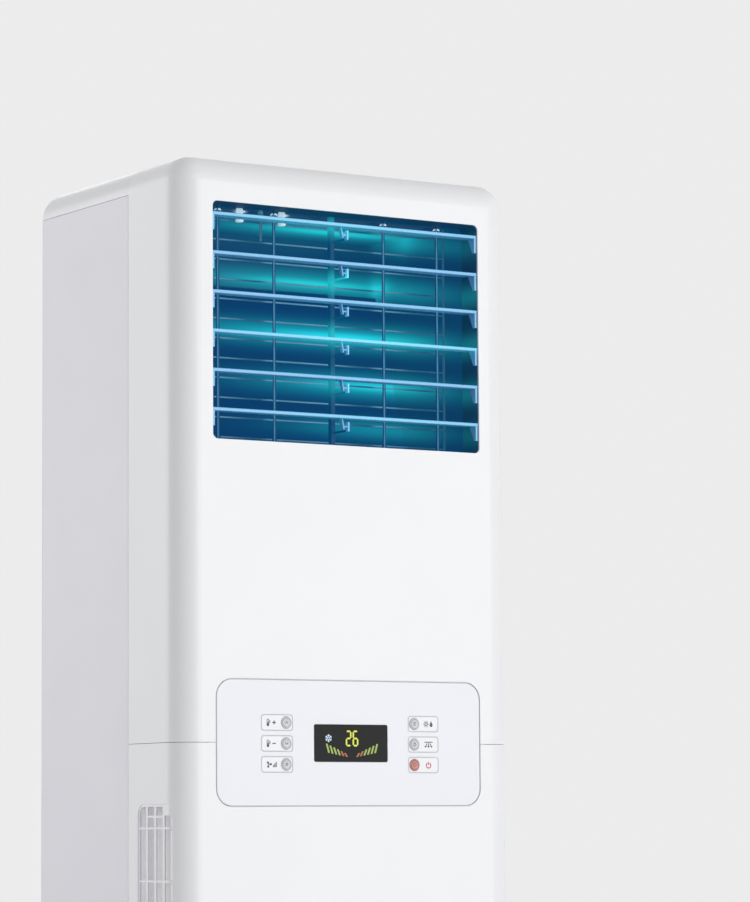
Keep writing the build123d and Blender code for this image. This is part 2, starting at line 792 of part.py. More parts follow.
def vane_link_rod():
    spots = link_spots()
    y = spots[0][1]
    xs = [x for x, _ in spots]
    low = vane_top_z + seam
    rod = block(min(xs) - 5, max(xs) + 5, y - rod_w / 2, y + rod_w / 2, low, low + rod_t)
    rod = fillet(rod.edges().filter_by(Axis.Z), 2.0)
    for side in (-1, 1):
        x = spots[-1][0] + side * clip_gap
        top = duct_top_z - 1
        clip = rod_z(clip_r, top - clip_h, top, x, y)
        clip = fillet(clip.faces().sort_by(Axis.Z)[-1].edges(), clip_r * 0.9)
        foot = rod_z(clip_r + 0.8, top - clip_h, top - clip_h + clip_foot, x, y)
        rod += clip + fillet(foot.edges(), 1.2)
    for x, _ in spots:
        rod -= rod_z(link_pin_r + run, low - 1, low + 5, x, y)
    return rod


def swing_crank():
    """Lever on the swing motor's spindle that moves the link rod."""
    x = swing_x()
    y = vane_y
    high = vane_top_z
    low = high - rod_t
    lever = block(x - 3.5, x + 3.5, y - 4, y + vane_lever + 4, low, high)
    lever = fillet(lever.edges().filter_by(Axis.Z), 3.0)
    lever += rod_z(link_pin_r, low + 1, high + rod_t + 2, x, y + vane_lever)
    lever += rod_z(spindle_r, low + 1, duct_top_z + duct_wall + swing_motor_h / 2, x, y)
    lever += rod_z(crank_stem_r, low - crank_stem, low + 1, x, y + vane_lever)
    return turned(lever, x, y)


def swing_motor():
    x = swing_x()
    y = vane_y
    low = duct_top_z + duct_wall
    r = swing_motor_r
    body = rod_z(r, low, low + swing_motor_h, x, y)
    body = fillet(body.faces().sort_by(Axis.Z)[-1].edges(), 2.0)
    body += block(x - 1.5 * r, x + 1.5 * r, y - 4, y + 4, low, low + tray_t)
    body += block(x - r / 2, x + r / 2, y + r - 4, y + r + 4, low + 2, low + swing_motor_h - 4)
    return body - rod_z(spindle_r + run, low - 1, low + swing_motor_h / 2 + 0.5, x, y)


# ---------------------------------------------------------------- duct and heat exchanger
coil_frame = Pos(0, coil_y, coil_z) * Rot(-coil_lean, 0, 0)


def coil_point(along, across):
    """(y, z) of a point of the coil: along its height, across its thickness."""
    lean = radians(coil_lean)
    y = coil_y + along * sin(lean) + across * cos(lean)
    z = coil_z + along * cos(lean) - across * sin(lean)
    return (y, z)


def outlet_duct():
    """Walls from the front of the coil to the outlet frame."""
    low = coil_point(0, -coil_t / 2)
    high = coil_point(coil_l, -coil_t / 2)
    front_low = (pan_front_y + duct_wall, pan_top_z)
    outline = [
        (frame_y1, duct_low_z),
        (frame_y1, duct_top_z),
        (high[0], duct_top_z),
        high,
        low,
        front_low,
    ]
    face = make_face(Polyline(*outline, close=True))
    plane = Plane(origin=(-duct_half, 0, 0), x_dir=(0, 1, 0), z_dir=(1, 0, 0))
    grown = offset(face, duct_wall, kind=Kind.INTERSECTION)
    outer_plane = Plane(origin=(-duct_half - duct_wall, 0, 0), x_dir=(0, 1, 0), z_dir=(1, 0, 0))
    duct = extrude(outer_plane * grown, amount=2 * (duct_half + duct_wall))
    duct -= extrude(plane * face, amount=2 * duct_half)
    duct -= block(-half_w, half_w, front_y, frame_y1, 0, cabinet_h)
    duct -= block(-half_w, half_w, front_y, coil_y + coil_t, 0, pan_top_z)
    face_y = -coil_t / 2 - end_lip - fit
    coil_room = block(-half_w, half_w, face_y, face_y + cabinet_d, -coil_t, coil_l + coil_t)
    lip_z = coil_point(coil_l, face_y)[1]
    above = block(-half_w, half_w, front_y, rear_y, lip_z, cabinet_h)
    duct -= (coil_frame * coil_room) - above
    for number in range(vane_count):
        duct -= rod_z(vane_pin_r + run, duct_low_z - 20, duct_top_z + 20, vane_x(number), vane_y)
    duct -= rod_z(spindle_r + fit, outlet_mid_z, duct_top_z + 20, swing_x(), vane_y)
    return duct


def guard_grid():
    """Wire guard across the duct behind the vanes."""
    y = front_y + guard_depth
    r = guard_wire_r
    side = duct_half - fit - r
    low = duct_low_z + fit
    high = duct_top_z - fit
    wires = [block(x - r, x + r, y - r, y + r, low, high) for x in (-side, side)]
    first = outlet_z + guard_first
    rows = int((high - first) / guard_pitch) + 1
    wires += [rod_x(r, -side, side, y, first + row * guard_pitch) for row in range(rows)]
    return Part() + wires


def evaporator_fins():
    """Fin pack: a slab with grooved faces."""
    half = coil_half_w - end_sheet
    count = int((2 * half - fin_gap) // fin_pitch)
    start = -count * fin_pitch / 2 + (fin_pitch - fin_gap) / 2
    front = [(-half, -coil_t / 2)]
    for number in range(count):
        x = start + number * fin_pitch
        front += [(x, -coil_t / 2), (x, -coil_t / 2 + fin_groove)]
        front += [(x + fin_gap, -coil_t / 2 + fin_groove), (x + fin_gap, -coil_t / 2)]
    front += [(half, -coil_t / 2)]
    back = [(x, -y) for x, y in reversed(front)]
    slab = extrude(make_face(Polyline(*front, *back, close=True)), amount=coil_l)
    return coil_frame * slab


def evaporator_end_plates():
    """Sheets at both ends of the fin pack, standing in the drain pan."""
    plates = []
    for side in (-1, 1):
        x0, x1 = sorted((side * (coil_half_w - end_sheet), side * coil_half_w))
        plate = coil_frame * block(x0, x1, -coil_t / 2 - end_lip, coil_t / 2 + end_lip, 0, coil_l)
        low = coil_point(0, -coil_t / 2)
        high = coil_point(0, coil_t / 2)
        plate += block(x0, x1, low[0] + 2, high[0] - 2, partition_z + pan_wall, low[1] + 8)
        plates.append(plate)
    return Compound(children=plates)


def tube_spots():
    """Heights of the tubes along the coil."""
    count = int((coil_l - 20) // (2 * tube_pitch)) * 2
    start = (coil_l - (count - 1) * tube_pitch) / 2
    return [start + number * tube_pitch for number in range(count)]


def evaporator_tubes():
    """Return bends at both ends of the coil."""
    spots = tube_spots()
    reach = 2 * tube_pitch
    bend = Rot(90, 0, 0) * Torus(tube_pitch / 2, tube_r)
    bend &= block(0, reach, -reach, reach, -reach, reach)
    bends = []
    for across in (-tube_row / 2, tube_row / 2):
        for number in range(len(spots) - 1):
            side = 1 if number % 2 == 0 else -1
            if number == 0 and across > 0:
                continue
            middle = spots[number] + tube_pitch / 2
            turn = Rot(0, 0, 0 if side > 0 else 180)
            bends.append(coil_frame * Pos(side * coil_half_w, across, middle) * turn * bend)
    return Compound(children=bends)


def refrigerant_pipes():
    """Gas and liquid pipes from the coil's rear row down to the flare nuts."""
    spots = tube_spots()
    pipes = []
    for along, r, y_end in ((spots[1], suction_r, suction_y), (spots[0], liquid_r, liquid_y)):
        y, z = coil_point(along, tube_row / 2)
        bend = pipe_bend * r
        points = [(coil_half_w, y, z), (pipe_x, y, z), (pipe_x, y_end, z), (pipe_x, y_end, pipe_end_z)]
        pipes.append(pipe(points, bend, r))
    return Compound(children=pipes)


def flare_nuts():
    nuts = []
    for r, y in ((suction_r, suction_y), (liquid_r, liquid_y)):
        nut = Pos(pipe_x, y, pipe_end_z) * extrude(RegularPolygon(r + nut_wall, 6), amount=nut_l)
        nuts.append(nut - rod_z(r, pipe_end_z - 1, pipe_end_z + nut_l + 1, pipe_x, y))
    return Compound(children=nuts)


def drain_pan():
    z0 = partition_z
    wall = pan_wall
    w = pan_half_w - wall
    pan = block(-pan_half_w, pan_half_w, pan_front_y, pan_rear_y, z0, pan_top_z)
    pan -= block(-w, w, pan_front_y + wall, pan_rear_y - wall, z0 + wall, pan_top_z + 1)
    z = z0 + hose_r + wall
    pan += rod_y(hose_bore, pan_rear_y - 1, pan_rear_y + spout_l, hose_x, z)
    return pan - rod_y(hose_bore - spout_wall, pan_rear_y - 2 * wall, pan_rear_y + spout_l + 1, hose_x, z)


def drain_hose():
    z = partition_z + hose_r + pan_wall
    points = [(hose_x, pan_rear_y + fit, z), (hose_x, hose_y, z), (hose_x, hose_y, hose_end_z)]
    return pipe(points, hose_bend, hose_r, hose_bore)


def partition_plate():
    """Shelf between the blower and the coil, open above the scroll's mouth."""
    side = side_in - fit
    y0 = pan_front_y - 4 * tray_t
    y1 = back_in_y - 2 * fit - sheet
    z0 = partition_z - tray_t
    lip = 10 * tray_t
    plate = block(-side, side, y0, y1, z0, partition_z)
    plate += block(-side, side, y0, y0 + tray_t, z0 - lip, z0)
    mouth = scroll_mouth - scroll_wall
    y2 = scroll_y0 + scroll_wall
    y3 = scroll_y1 - scroll_wall
    plate -= block(-mouth, mouth, y2, y3, z0 - 1, partition_z + 1)
    for r, x, y in ((suction_r, pipe_x, suction_y), (liquid_r, pipe_x, liquid_y), (hose_r, hose_x, hose_y)):
        plate -= rod_z(r + 2 * fit, z0 - 1, partition_z + 1, x, y)
    x = side_out - panel_fold - 1
    y4 = cover_back_y + panel_gap + sheet + fit
    notch = block(x, half_w, y0 - 1, y4, z0 - 2 * lip, partition_z + 1)
    return plate - notch - mirrored(notch)


# ---------------------------------------------------------------- blower
def scroll_face(inset):
    """Outline of the scroll in (x, z), its walls moved in by inset from the outer face."""
    e = scroll_grow / 2
    r = scroll_r + scroll_wall - inset
    side = scroll_mouth - inset
    top = partition_z - tray_t - fit - fan_z
    arcs = Curve() + [
        CenterArc((-e, -e), r, 90, 90),
        CenterArc((e, -e), r + scroll_grow, 180, 90),
        CenterArc((e, e), r + 2 * scroll_grow, 270, 90),
    ]
    tongue = (-e, r - e)
    lines = Polyline((side, e), (side, top), (-side, top), (-side, top * flare), tongue)
    return make_face(arcs + lines)


def volute():
    """Scroll casing: two cheeks and the spiral wall, open at the mouth."""
    plane = Plane(origin=(0, scroll_y0, fan_z), x_dir=(1, 0, 0), z_dir=(0, -1, 0))
    inner = Plane(origin=(0, scroll_y0 + scroll_wall, fan_z), x_dir=(1, 0, 0), z_dir=(0, -1, 0))
    casing = extrude(plane * scroll_face(0), amount=scroll_y0 - scroll_y1)
    casing -= extrude(inner * scroll_face(scroll_wall), amount=scroll_y0 - scroll_y1 + 2 * scroll_wall)
    mouth = scroll_mouth - scroll_wall
    z1 = partition_z - tray_t - fit
    y0 = scroll_y0 + scroll_wall
    y1 = scroll_y1 - scroll_wall
    casing -= block(-mouth, mouth, y0, y1, z1 - 2 * scroll_wall, z1 + 1)
    casing -= rod_y(inlet_r + bell_r + fit, scroll_y0 - 1, scroll_y0 + scroll_wall + 1, 0, fan_z)
    casing -= rod_y(motor_r + 3, scroll_y1 - scroll_wall - 1, scroll_y1 + 1, 0, fan_z)
    return casing


def inlet_ring():
    """Bell mouth in front of the impeller."""
    y = scroll_y0
    r = inlet_r
    t = bell_t
    outer = r + bell_r + bell_flange
    profile = Polyline((outer, -t), (r + bell_r, -t))
    profile += RadiusArc((r + bell_r, -t), (r, bell_r), bell_r + t)
    profile += Polyline((r, bell_r), (r + t, bell_r))
    profile += RadiusArc((r + t, bell_r), (r + bell_r, 0), -bell_r)
    profile += Polyline((r + bell_r, 0), (outer, 0), (outer, -t))
    section = Plane(origin=(0, y - fit, fan_z), x_dir=(1, 0, 0), z_dir=(0, 0, 1)) * make_face(profile)
    return revolve(section, Axis((0, 0, fan_z), (0, 1, 0)))


def impeller():
    """Forward curved blower wheel on the motor shaft."""
    y0 = impeller_y0
    y1 = impeller_y1
    t = wheel_disc_t
    disc = rod_y(impeller_r, y1 - t, y1, 0, fan_z)
    ring = rod_y(impeller_r, y0, y0 + 2.5 * t, 0, fan_z)
    ring -= rod_y(impeller_r - 3 * t, y0 - 1, y0 + 3 * t, 0, fan_z)
    hub = rod_y(hub_r, y1 - hub_l, y1, 0, fan_z)
    hub += rod_y(hub_disc_r, y1 - hub_disc_t, y1, 0, fan_z)
    root = impeller_r - blade_chord
    lead = blade_lead / impeller_r
    p0 = (root, 0)
    p1 = (impeller_r * cos(lead) - blade_t / 4, impeller_r * sin(lead))
    q0 = (root, -blade_t)
    q1 = (p1[0] + blade_t / 4, p1[1] - blade_t)
    bow = blade_chord * 1.1
    face = make_face(Curve() + [RadiusArc(p0, p1, -bow), Line(p1, q1), RadiusArc(q1, q0, bow), Line(q0, p0)])
    plane = Plane(origin=(0, y0 + 1, fan_z), x_dir=(1, 0, 0), z_dir=(0, -1, 0))
    blade = extrude(plane * face, amount=y0 - y1 + 2)
    step = 360.0 / blade_count
    centre = Pos(0, 0, fan_z)
    blades = [centre * Rot(0, number * step, 0) * centre.inverse() * blade for number in range(blade_count)]
    wheel = disc + [ring, hub] + blades
    return wheel - rod_y(shaft_r, y1 - hub_l - 1, y1 + 1, 0, fan_z)


def motor_shaft():
    shaft = rod_y(shaft_r, impeller_y1 - hub_l - shaft_r, motor_y + motor_l - 2 * shaft_r, 0, fan_z)
    return chamfer(shaft.faces().sort_by(Axis.Y)[0].edges(), 1.0)


def fan_motor():
    y0 = motor_y
    y1 = y0 + motor_l
    body = rod_y(motor_r, y0, y1, 0, fan_z)
    body = fillet(body.faces().sort_by(Axis.Y)[-1].edges(), 8.0)
    body += rod_y(motor_boss_r, y0 - 4 * tray_t, y0 + 1, 0, fan_z)
    for number in range(4):
        turn = Pos(0, 0, fan_z) * Rot(0, 45 + 90 * number, 0)
        body += turn * Pos(motor_r + ear_l / 4, y0 + ear_t / 2, 0) * Box(ear_l, ear_t, ear_w)
    return body - rod_y(shaft_r + run, y0 - 5 * tray_t, y1 - 2 * shaft_r + 1, 0, fan_z)


def motor_bracket():
    """Plate that carries the motor and the scroll, folded back to the rear panel at both sides."""
    y0 = scroll_y1
    y1 = back_in_y - fit
    half = bracket_w / 2
    z0 = fan_z - bracket_h / 2
    z1 = fan_z + bracket_h / 2
    plate = block(-half, half, y0, motor_y, z0, z1)
    plate -= rod_y(motor_boss_r + 2, y0 - 1, motor_y + 1, 0, fan_z)
    for side in (-1, 1):
        x0, x1 = sorted((side * half, side * (half - tray_t)))
        plate += block(x0, x1, y0, y1, z0, z1)
        f0, f1 = sorted((side * half, side * (half + bracket_foot)))
        plate += block(f0, f1, y1 - tray_t, y1, z0, z1)
    return plate


# ---------------------------------------------------------------- electrics
def electrical_box():
    y1 = back_in_y - fit
    y0 = y1 - box_d
    box = block(box_x0, box_x1, y0, y1, box_z0, box_z1)
    box -= block(box_x0 + sheet, box_x1 - sheet, y0 - 1, y1 - sheet, box_z0 + sheet, box_z1 - sheet)
    for x in (box_x0 + stud_inset, box_x1 - stud_inset):
        for z in (box_z0 + stud_inset, box_z1 - stud_inset):
            box += rod_y(stud_r, y1 - stud_l, y1 - sheet / 2, x, z)
    return box - rod_y(gland_r - 2, y1 - 4, y1 + 1, gland_x, gland_z)


def electrical_lid():
    y1 = back_in_y - fit - box_d - fit
    wall = sheet + fit
    lid = block(box_x0 - wall, box_x1 + wall, y1 - sheet, y1 + rear_fold, box_z0 - wall, box_z1 + wall)
    return lid - block(box_x0 - fit, box_x1 + fit, y1, y1 + rear_fold + 1, box_z0 - fit, box_z1 + fit)


def main_board():
    """Board on the box's studs, with its capacitor, transformer and relays."""
    y1 = back_in_y - fit - stud_l
    y0 = y1 - board_t
    inset = board_inset
    board = block(box_x0 + inset, box_x1 - inset, y0, y1, box_z0 + inset, box_z1 - inset)
    board -= rod_y(gland_r + 1, y0 - 1, y1 + 1, gland_x, gland_z)
    row_z = box_z1 - stud_inset - capacitor_h
    x = box_x0 + 2 * stud_inset
    capacitor = rod_z(capacitor_r, row_z, row_z + capacitor_h, x, y0 - capacitor_r)
    x += capacitor_r + stud_inset
    transformer = block(x, x + transformer_w, y0 - transformer_d, y0, row_z, row_z + transformer_h)
    x += transformer_w + stud_inset
    relays = [
        block(x + n * relay_pitch, x + n * relay_pitch + relay_w, y0 - relay_d, y0, row_z, row_z + relay_h)
        for n in range(relay_count)
    ]
    return Compound(children=[board, capacitor, transformer, *relays])


def terminal_block():
    """Screw terminals on the board's lower edge."""
    y1 = back_in_y - fit - stud_l - board_t
    x0 = box_x0 + stud_inset + board_inset
    z0 = box_z0 + stud_inset
    z1 = z0 + terminal_h
    d = terminal_pitch
    body = block(x0, x0 + terminal_count * d, y1 - d, y1, z0, z1)
    for number in range(terminal_count):
        x = x0 + (number + 0.5) * d
        body -= block(x - d * 0.36, x + d * 0.36, y1 - d - 1, y1 - d * 0.64, z0 + 5, z1 - 5)
        body += rod_y(d * 0.2, y1 - d * 0.82, y1 - d * 0.6, x, (z0 + z1) / 2)
    return body


def cable_gland():
    y0 = back_in_y - fit - sheet
    gland = rod_y(gland_r - 2 - run, y0 - 6, rear_y + 1, gland_x, gland_z)
    gland += rod_y(gland_r + 1, rear_y, rear_y + screw_head_h, gland_x, gland_z)
    gland += rod_y(gland_r, y0 - 8, y0, gland_x, gland_z)
    return gland - rod_y(gland_bore, y0 - 9, rear_y + screw_head_h + 1, gland_x, gland_z)


def pipe_grommet():
    """Rubber ring in the pipe hole."""
    r = pipe_hole_r
    y0 = back_in_y
    y1 = rear_y + screw_head_h
    ring = rod_y(r - fit / 3, y0 - 2 * grommet_t, rear_y + 1, pipe_hole_x, pipe_hole_z)
    ring += rod_y(r + grommet_lip, rear_y, y1, pipe_hole_x, pipe_hole_z)
    ring += rod_y(r + grommet_lip, y0 - grommet_lip, y0 - fit, pipe_hole_x, pipe_hole_z)
    return ring - rod_y(r - grommet_t, y0 - 3 * grommet_t, y1 + 1, pipe_hole_x, pipe_hole_z)


# ---------------------------------------------------------------- filters
def air_filter():
    """Right hand filter: frame with ribs round a fine mesh."""
    y0 = front_y + filter_front
    y1 = y0 + filter_w
    x0 = filter_x - filter_t / 2
    x1 = filter_x + filter_t / 2
    frame = block(x0, x1, y0, y1, filter_low, filter_high)
    rib = filter_rib
    pitch = (filter_high - filter_low - rib) / filter_rows
    width = (filter_w - 3 * rib) / 2
    windows = []
    for row in range(filter_rows):
        z0 = filter_low + rib + row * pitch
        for column in range(2):
            w0 = y0 + rib + column * (width + rib)
            windows.append(block(x0 - 1, x1 + 1, w0, w0 + width, z0, z0 + pitch - rib))
    frame -= windows
    half = mesh_t / 2
    z0 = filter_low + rib / 2
    z1 = filter_high - rib / 2
    mesh = block(filter_x - half, filter_x + half, y0 + rib / 2, y1 - rib / 2, z0, z1)
    return frame + mesh


# ---------------------------------------------------------------- every piece
right_filter = air_filter()
right_side = side_panel()
pieces = {
    "base_pan": base_pan(),
    "rubber_feet": rubber_feet(),
    "plinth": plinth(),
    "left_side_panel": mirrored(right_side),
    "right_side_panel": right_side,
    "back_panel": back_panel(),
    "panel_screws": panel_screws(),
    "top_cap": top_cap(),
    "upper_front_cover": upper_front_cover(),
    "lower_front_panel": lower_front_panel(),
    "filter_left": mirrored(right_filter),
    "filter_right": right_filter,
    "control_fascia": control_fascia(),
    "label_plates": label_plates(),
    "display_window": display_window(),
    "control_board": control_board(),
    "outlet_frame": outlet_frame(),
    "louver_post": louver_post(),
    "louver_link_bar": louver_link_bar(),
    "vane_link_rod": vane_link_rod(),
    "swing_crank": swing_crank(),
    "swing_motor": swing_motor(),
    "outlet_duct": outlet_duct(),
    "guard_grid": guard_grid(),
    "evaporator_fins": evaporator_fins(),
    "evaporator_end_plates": evaporator_end_plates(),
    "evaporator_tubes": evaporator_tubes(),
    "refrigerant_pipes": refrigerant_pipes(),
    "flare_nuts": flare_nuts(),
    "drain_pan": drain_pan(),
    "drain_hose": drain_hose(),
    "partition_plate": partition_plate(),
    "volute": volute(),
    "inlet_ring": inlet_ring(),
    "impeller": impeller(),
    "motor_shaft": motor_shaft(),
    "fan_motor": fan_motor(),
    "motor_bracket": motor_bracket(),
    "electrical_box": electrical_box(),
    "electrical_lid": electrical_lid(),
    "main_board": main_board(),
    "terminal_block": terminal_block(),
    "cable_gland": cable_gland(),
    "pipe_grommet": pipe_grommet(),
}
for number in range(louver_count):
    pieces[f"louver_{number + 1}"] = louver(number)
for number in range(vane_count):
    pieces[f"vane_{number + 1}"] = vane(number)
for number, (x, z) in enumerate(knob_spots):
    pieces[f"button_{number + 1}"] = button(x, z)

for name, piece in pieces.items():
    export_step(piece, f"parts/{name}.step")
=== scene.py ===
import json
from math import cos, pi, radians, sin, tau

import bmesh
import bpy
from mathutils import Matrix, Vector

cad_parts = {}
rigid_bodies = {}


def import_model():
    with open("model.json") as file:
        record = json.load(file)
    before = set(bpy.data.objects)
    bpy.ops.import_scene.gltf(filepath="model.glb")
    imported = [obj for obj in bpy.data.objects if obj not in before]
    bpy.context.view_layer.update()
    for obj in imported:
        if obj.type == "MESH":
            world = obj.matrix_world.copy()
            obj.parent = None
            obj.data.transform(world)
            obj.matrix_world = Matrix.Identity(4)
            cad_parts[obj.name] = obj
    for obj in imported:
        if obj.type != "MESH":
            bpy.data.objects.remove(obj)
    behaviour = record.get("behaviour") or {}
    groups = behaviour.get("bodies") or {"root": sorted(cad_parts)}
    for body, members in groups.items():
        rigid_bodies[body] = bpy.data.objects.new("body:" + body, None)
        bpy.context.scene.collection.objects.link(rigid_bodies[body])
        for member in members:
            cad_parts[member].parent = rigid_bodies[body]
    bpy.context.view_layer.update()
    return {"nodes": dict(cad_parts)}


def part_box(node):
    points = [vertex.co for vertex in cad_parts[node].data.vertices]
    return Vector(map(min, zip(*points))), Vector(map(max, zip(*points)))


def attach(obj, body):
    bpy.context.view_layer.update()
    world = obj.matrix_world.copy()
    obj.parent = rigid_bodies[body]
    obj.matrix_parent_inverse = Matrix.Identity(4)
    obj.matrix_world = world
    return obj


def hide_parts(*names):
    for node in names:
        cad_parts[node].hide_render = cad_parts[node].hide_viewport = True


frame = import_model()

nodes = frame["nodes"]

# ---------------------------------------------------------------- places taken from the frame (m)
front_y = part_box("control_fascia")[0][1]
seam_z = sum(corner[2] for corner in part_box("control_fascia")) / 2
window_low, window_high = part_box("display_window")
fins_low, fins_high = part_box("evaporator_fins")

# ---------------------------------------------------------------- places inside the outlet (m)
vane_spots = (-0.166, -0.083, 0.083, 0.166)  # x of the vanes' pivots
vane_y = -0.136
rod_y = -0.119
rod_z = 1.69
clip_spots = (-0.1239, -0.0609)  # x of the clips on the link rod
duct_wall_x = 0.212

# ---------------------------------------------------------------- camera of the photograph
camera_spot = (-2.5398, -4.2219, 0.9081)
camera_yaw = radians(32.5523)
camera_pitch = radians(5.7174)
camera_roll = radians(-0.3737)
camera_lens = 150.37  # on a 36 mm sensor along the picture's height

# ---------------------------------------------------------------- values used by several looks
ink = 0.00012  # thickness of printed marks (m)
far = 9  # reach of a patch of light along an axis where it doesn't fade (m)
matt = 0.12  # specular level of surfaces that hardly reflect
cloud_shade = 0.985  # share of the colour left in the darker clouds of plastic and paint
cyan = (0.020, 0.72, 0.78)  # brightest light in the outlet
clip_pale = (0.74, 0.84, 0.88)
clip_glow = (0.30, 0.40, 0.42)
background = (0.840, 0.840, 0.845, 1)


# ---------------------------------------------------------------- small helpers
def clean_scene():
    """Removes what Blender starts with."""
    for thing in list(bpy.data.objects):
        if thing.name in ("Cube", "Light", "Camera"):
            bpy.data.objects.remove(thing)


def add_mesh(name, bm, shader, body="cabinet"):
    """Turns a bmesh into a piece that rides on a body."""
    mesh = bpy.data.meshes.new(name)
    bmesh.ops.recalc_face_normals(bm, faces=bm.faces)
    bm.to_mesh(mesh)
    bm.free()
    piece = bpy.data.objects.new(name, mesh)
    bpy.context.scene.collection.objects.link(piece)
    mesh.materials.append(shader.material)
    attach(piece, body)
    return piece


def paint(shader, *names):
    """Gives CAD nodes a material through their object's slots."""
    for name in names:
        node = nodes[name]
        if not node.material_slots:
            node.data.materials.append(shader.material)
        for place in node.material_slots:
            place.link = "OBJECT"
            place.material = shader.material


class Shader:
    """A node material with a Principled shader, built step by step."""

    def __init__(self, name, color, roughness, metallic=0.0):
        self.material = bpy.data.materials.new(name)
        self.material.use_nodes = True
        self.tree = self.material.node_tree
        self.bsdf = self.tree.nodes["Principled BSDF"]
        self.color = color
        self.bsdf.inputs["Base Color"].default_value = (*color, 1)
        self.bsdf.inputs["Roughness"].default_value = roughness
        self.bsdf.inputs["Metallic"].default_value = metallic
        self.place = self.add("ShaderNodeTexCoord").outputs["Object"]

    def add(self, kind, **values):
        node = self.tree.nodes.new(kind)
        for key, value in values.items():
            setattr(node, key, value)
        return node

    def link(self, source, target):
        self.tree.links.new(source, target)

    def noise(self, scale, detail, stretch=(1, 1, 1)):
        """Noise over the object's own coordinates, scale in repeats per metre."""
        mapping = self.add("ShaderNodeMapping")
        mapping.inputs["Scale"].default_value = stretch
        self.link(self.place, mapping.inputs["Vector"])
        noise = self.add("ShaderNodeTexNoise")
        noise.inputs["Scale"].default_value = scale
        noise.inputs["Detail"].default_value = detail
        self.link(mapping.outputs["Vector"], noise.inputs["Vector"])
        return noise.outputs["Fac"]

    def span(self, source, low, high, from_low=0.3, from_high=0.7):
        """Maps a value to low ... high."""
        node = self.add("ShaderNodeMapRange")
        node.inputs["From Min"].default_value = from_low
        node.inputs["From Max"].default_value = from_high
        node.inputs["To Min"].default_value = low
        node.inputs["To Max"].default_value = high
        self.link(source, node.inputs["Value"])
        return node.outputs["Result"]

    def tint(self, factor, other):
        """Base colour between the material's colour and another one."""
        mix = self.add("ShaderNodeMix", data_type="RGBA")
        mix.inputs["A"].default_value = (*self.color, 1)
        mix.inputs["B"].default_value = (*other, 1)
        self.link(factor, mix.inputs["Factor"])
        self.link(mix.outputs["Result"], self.bsdf.inputs["Base Color"])

    def vary_roughness(self, factor, low, high):
        self.link(self.span(factor, low, high), self.bsdf.inputs["Roughness"])

    def bump(self, height, strength, distance, edge=0.0):
        """Fine relief, over edges rounded by the given radius."""
        node = self.add("ShaderNodeBump")
        node.inputs["Strength"].default_value = strength
        node.inputs["Distance"].default_value = distance
        self.link(height, node.inputs["Height"])
        if edge:
            rounded = self.add("ShaderNodeBevel", samples=4)
            rounded.inputs["Radius"].default_value = edge
            self.link(rounded.outputs["Normal"], node.inputs["Normal"])
        self.link(node.outputs["Normal"], self.bsdf.inputs["Normal"])


def moulded(name, color, roughness, depth=0.00001, coat=0.0, edge=0.0005):
    """Moulded plastic: faint flow marks, a fine grain and uneven gloss."""
    grain = 1600
    shader = Shader(name, color, roughness)
    cloud = shader.noise(2.5, 1)
    shader.tint(shader.span(cloud, 0, 1), tuple(value * cloud_shade for value in color))
    shader.vary_roughness(shader.noise(6, 2), roughness * 0.94, roughness * 1.06)
    shader.bump(shader.noise(grain, 2), 0.10, depth, edge)
    shader.bsdf.inputs["Coat Weight"].default_value = coat
    shader.bsdf.inputs["Coat Roughness"].default_value = 0.08
    return shader


def powder_coat(name, color, roughness=0.42):
    """Painted sheet steel with a fine orange peel."""
    shader = Shader(name, color, roughness)
    shader.tint(shader.span(shader.noise(3, 1), 0, 1), tuple(value * cloud_shade for value in color))
    shader.vary_roughness(shader.noise(12, 2), roughness * 0.93, roughness * 1.07)
    shader.bump(shader.noise(500, 2), 0.12, 0.00002)
    return shader


def zinc(name, color):
    """Galvanised steel with its spangle."""
    shader = Shader(name, color, 0.38, 0.85)
    cells = shader.add("ShaderNodeTexVoronoi")
    cells.inputs["Scale"].default_value = 85
    shader.link(shader.place, cells.inputs["Vector"])
    spread = shader.add("ShaderNodeSeparateColor")
    shader.link(cells.outputs["Color"], spread.inputs["Color"])
    shader.tint(spread.outputs["Red"], tuple(value * 0.78 for value in color))
    shader.link(shader.span(spread.outputs["Green"], 0.28, 0.5, 0, 1), shader.bsdf.inputs["Roughness"])
    return shader


def drawn_metal(name, color, roughness, tarnish=0.8):
    """Metal with fine drawing lines and a little tarnish."""
    shader = Shader(name, color, roughness, 1.0)
    lines = shader.noise(900, 2, stretch=(1, 1, 30))
    cloud = shader.noise(25, 4)
    shader.tint(shader.span(cloud, 0, 1), tuple(value * tarnish for value in color))
    shader.vary_roughness(lines, roughness * 0.8, roughness * 1.25)
    shader.bump(lines, 0.2, 0.00002)
    return shader


def leaning(shader, slope):
    """Object space with Z measured from planes that rise along Y by the slope."""
    split = shader.add("ShaderNodeSeparateXYZ")
    shader.link(shader.place, split.inputs["Vector"])
    lean = shader.add("ShaderNodeMath", operation="MULTIPLY_ADD")
    lean.inputs[1].default_value = -slope
    shader.link(split.outputs["Y"], lean.inputs[0])
    shader.link(split.outputs["Z"], lean.inputs[2])
    join = shader.add("ShaderNodeCombineXYZ")
    shader.link(split.outputs["X"], join.inputs["X"])
    shader.link(split.outputs["Y"], join.inputs["Y"])
    shader.link(lean.outputs[0], join.inputs["Z"])
    return join.outputs["Vector"]


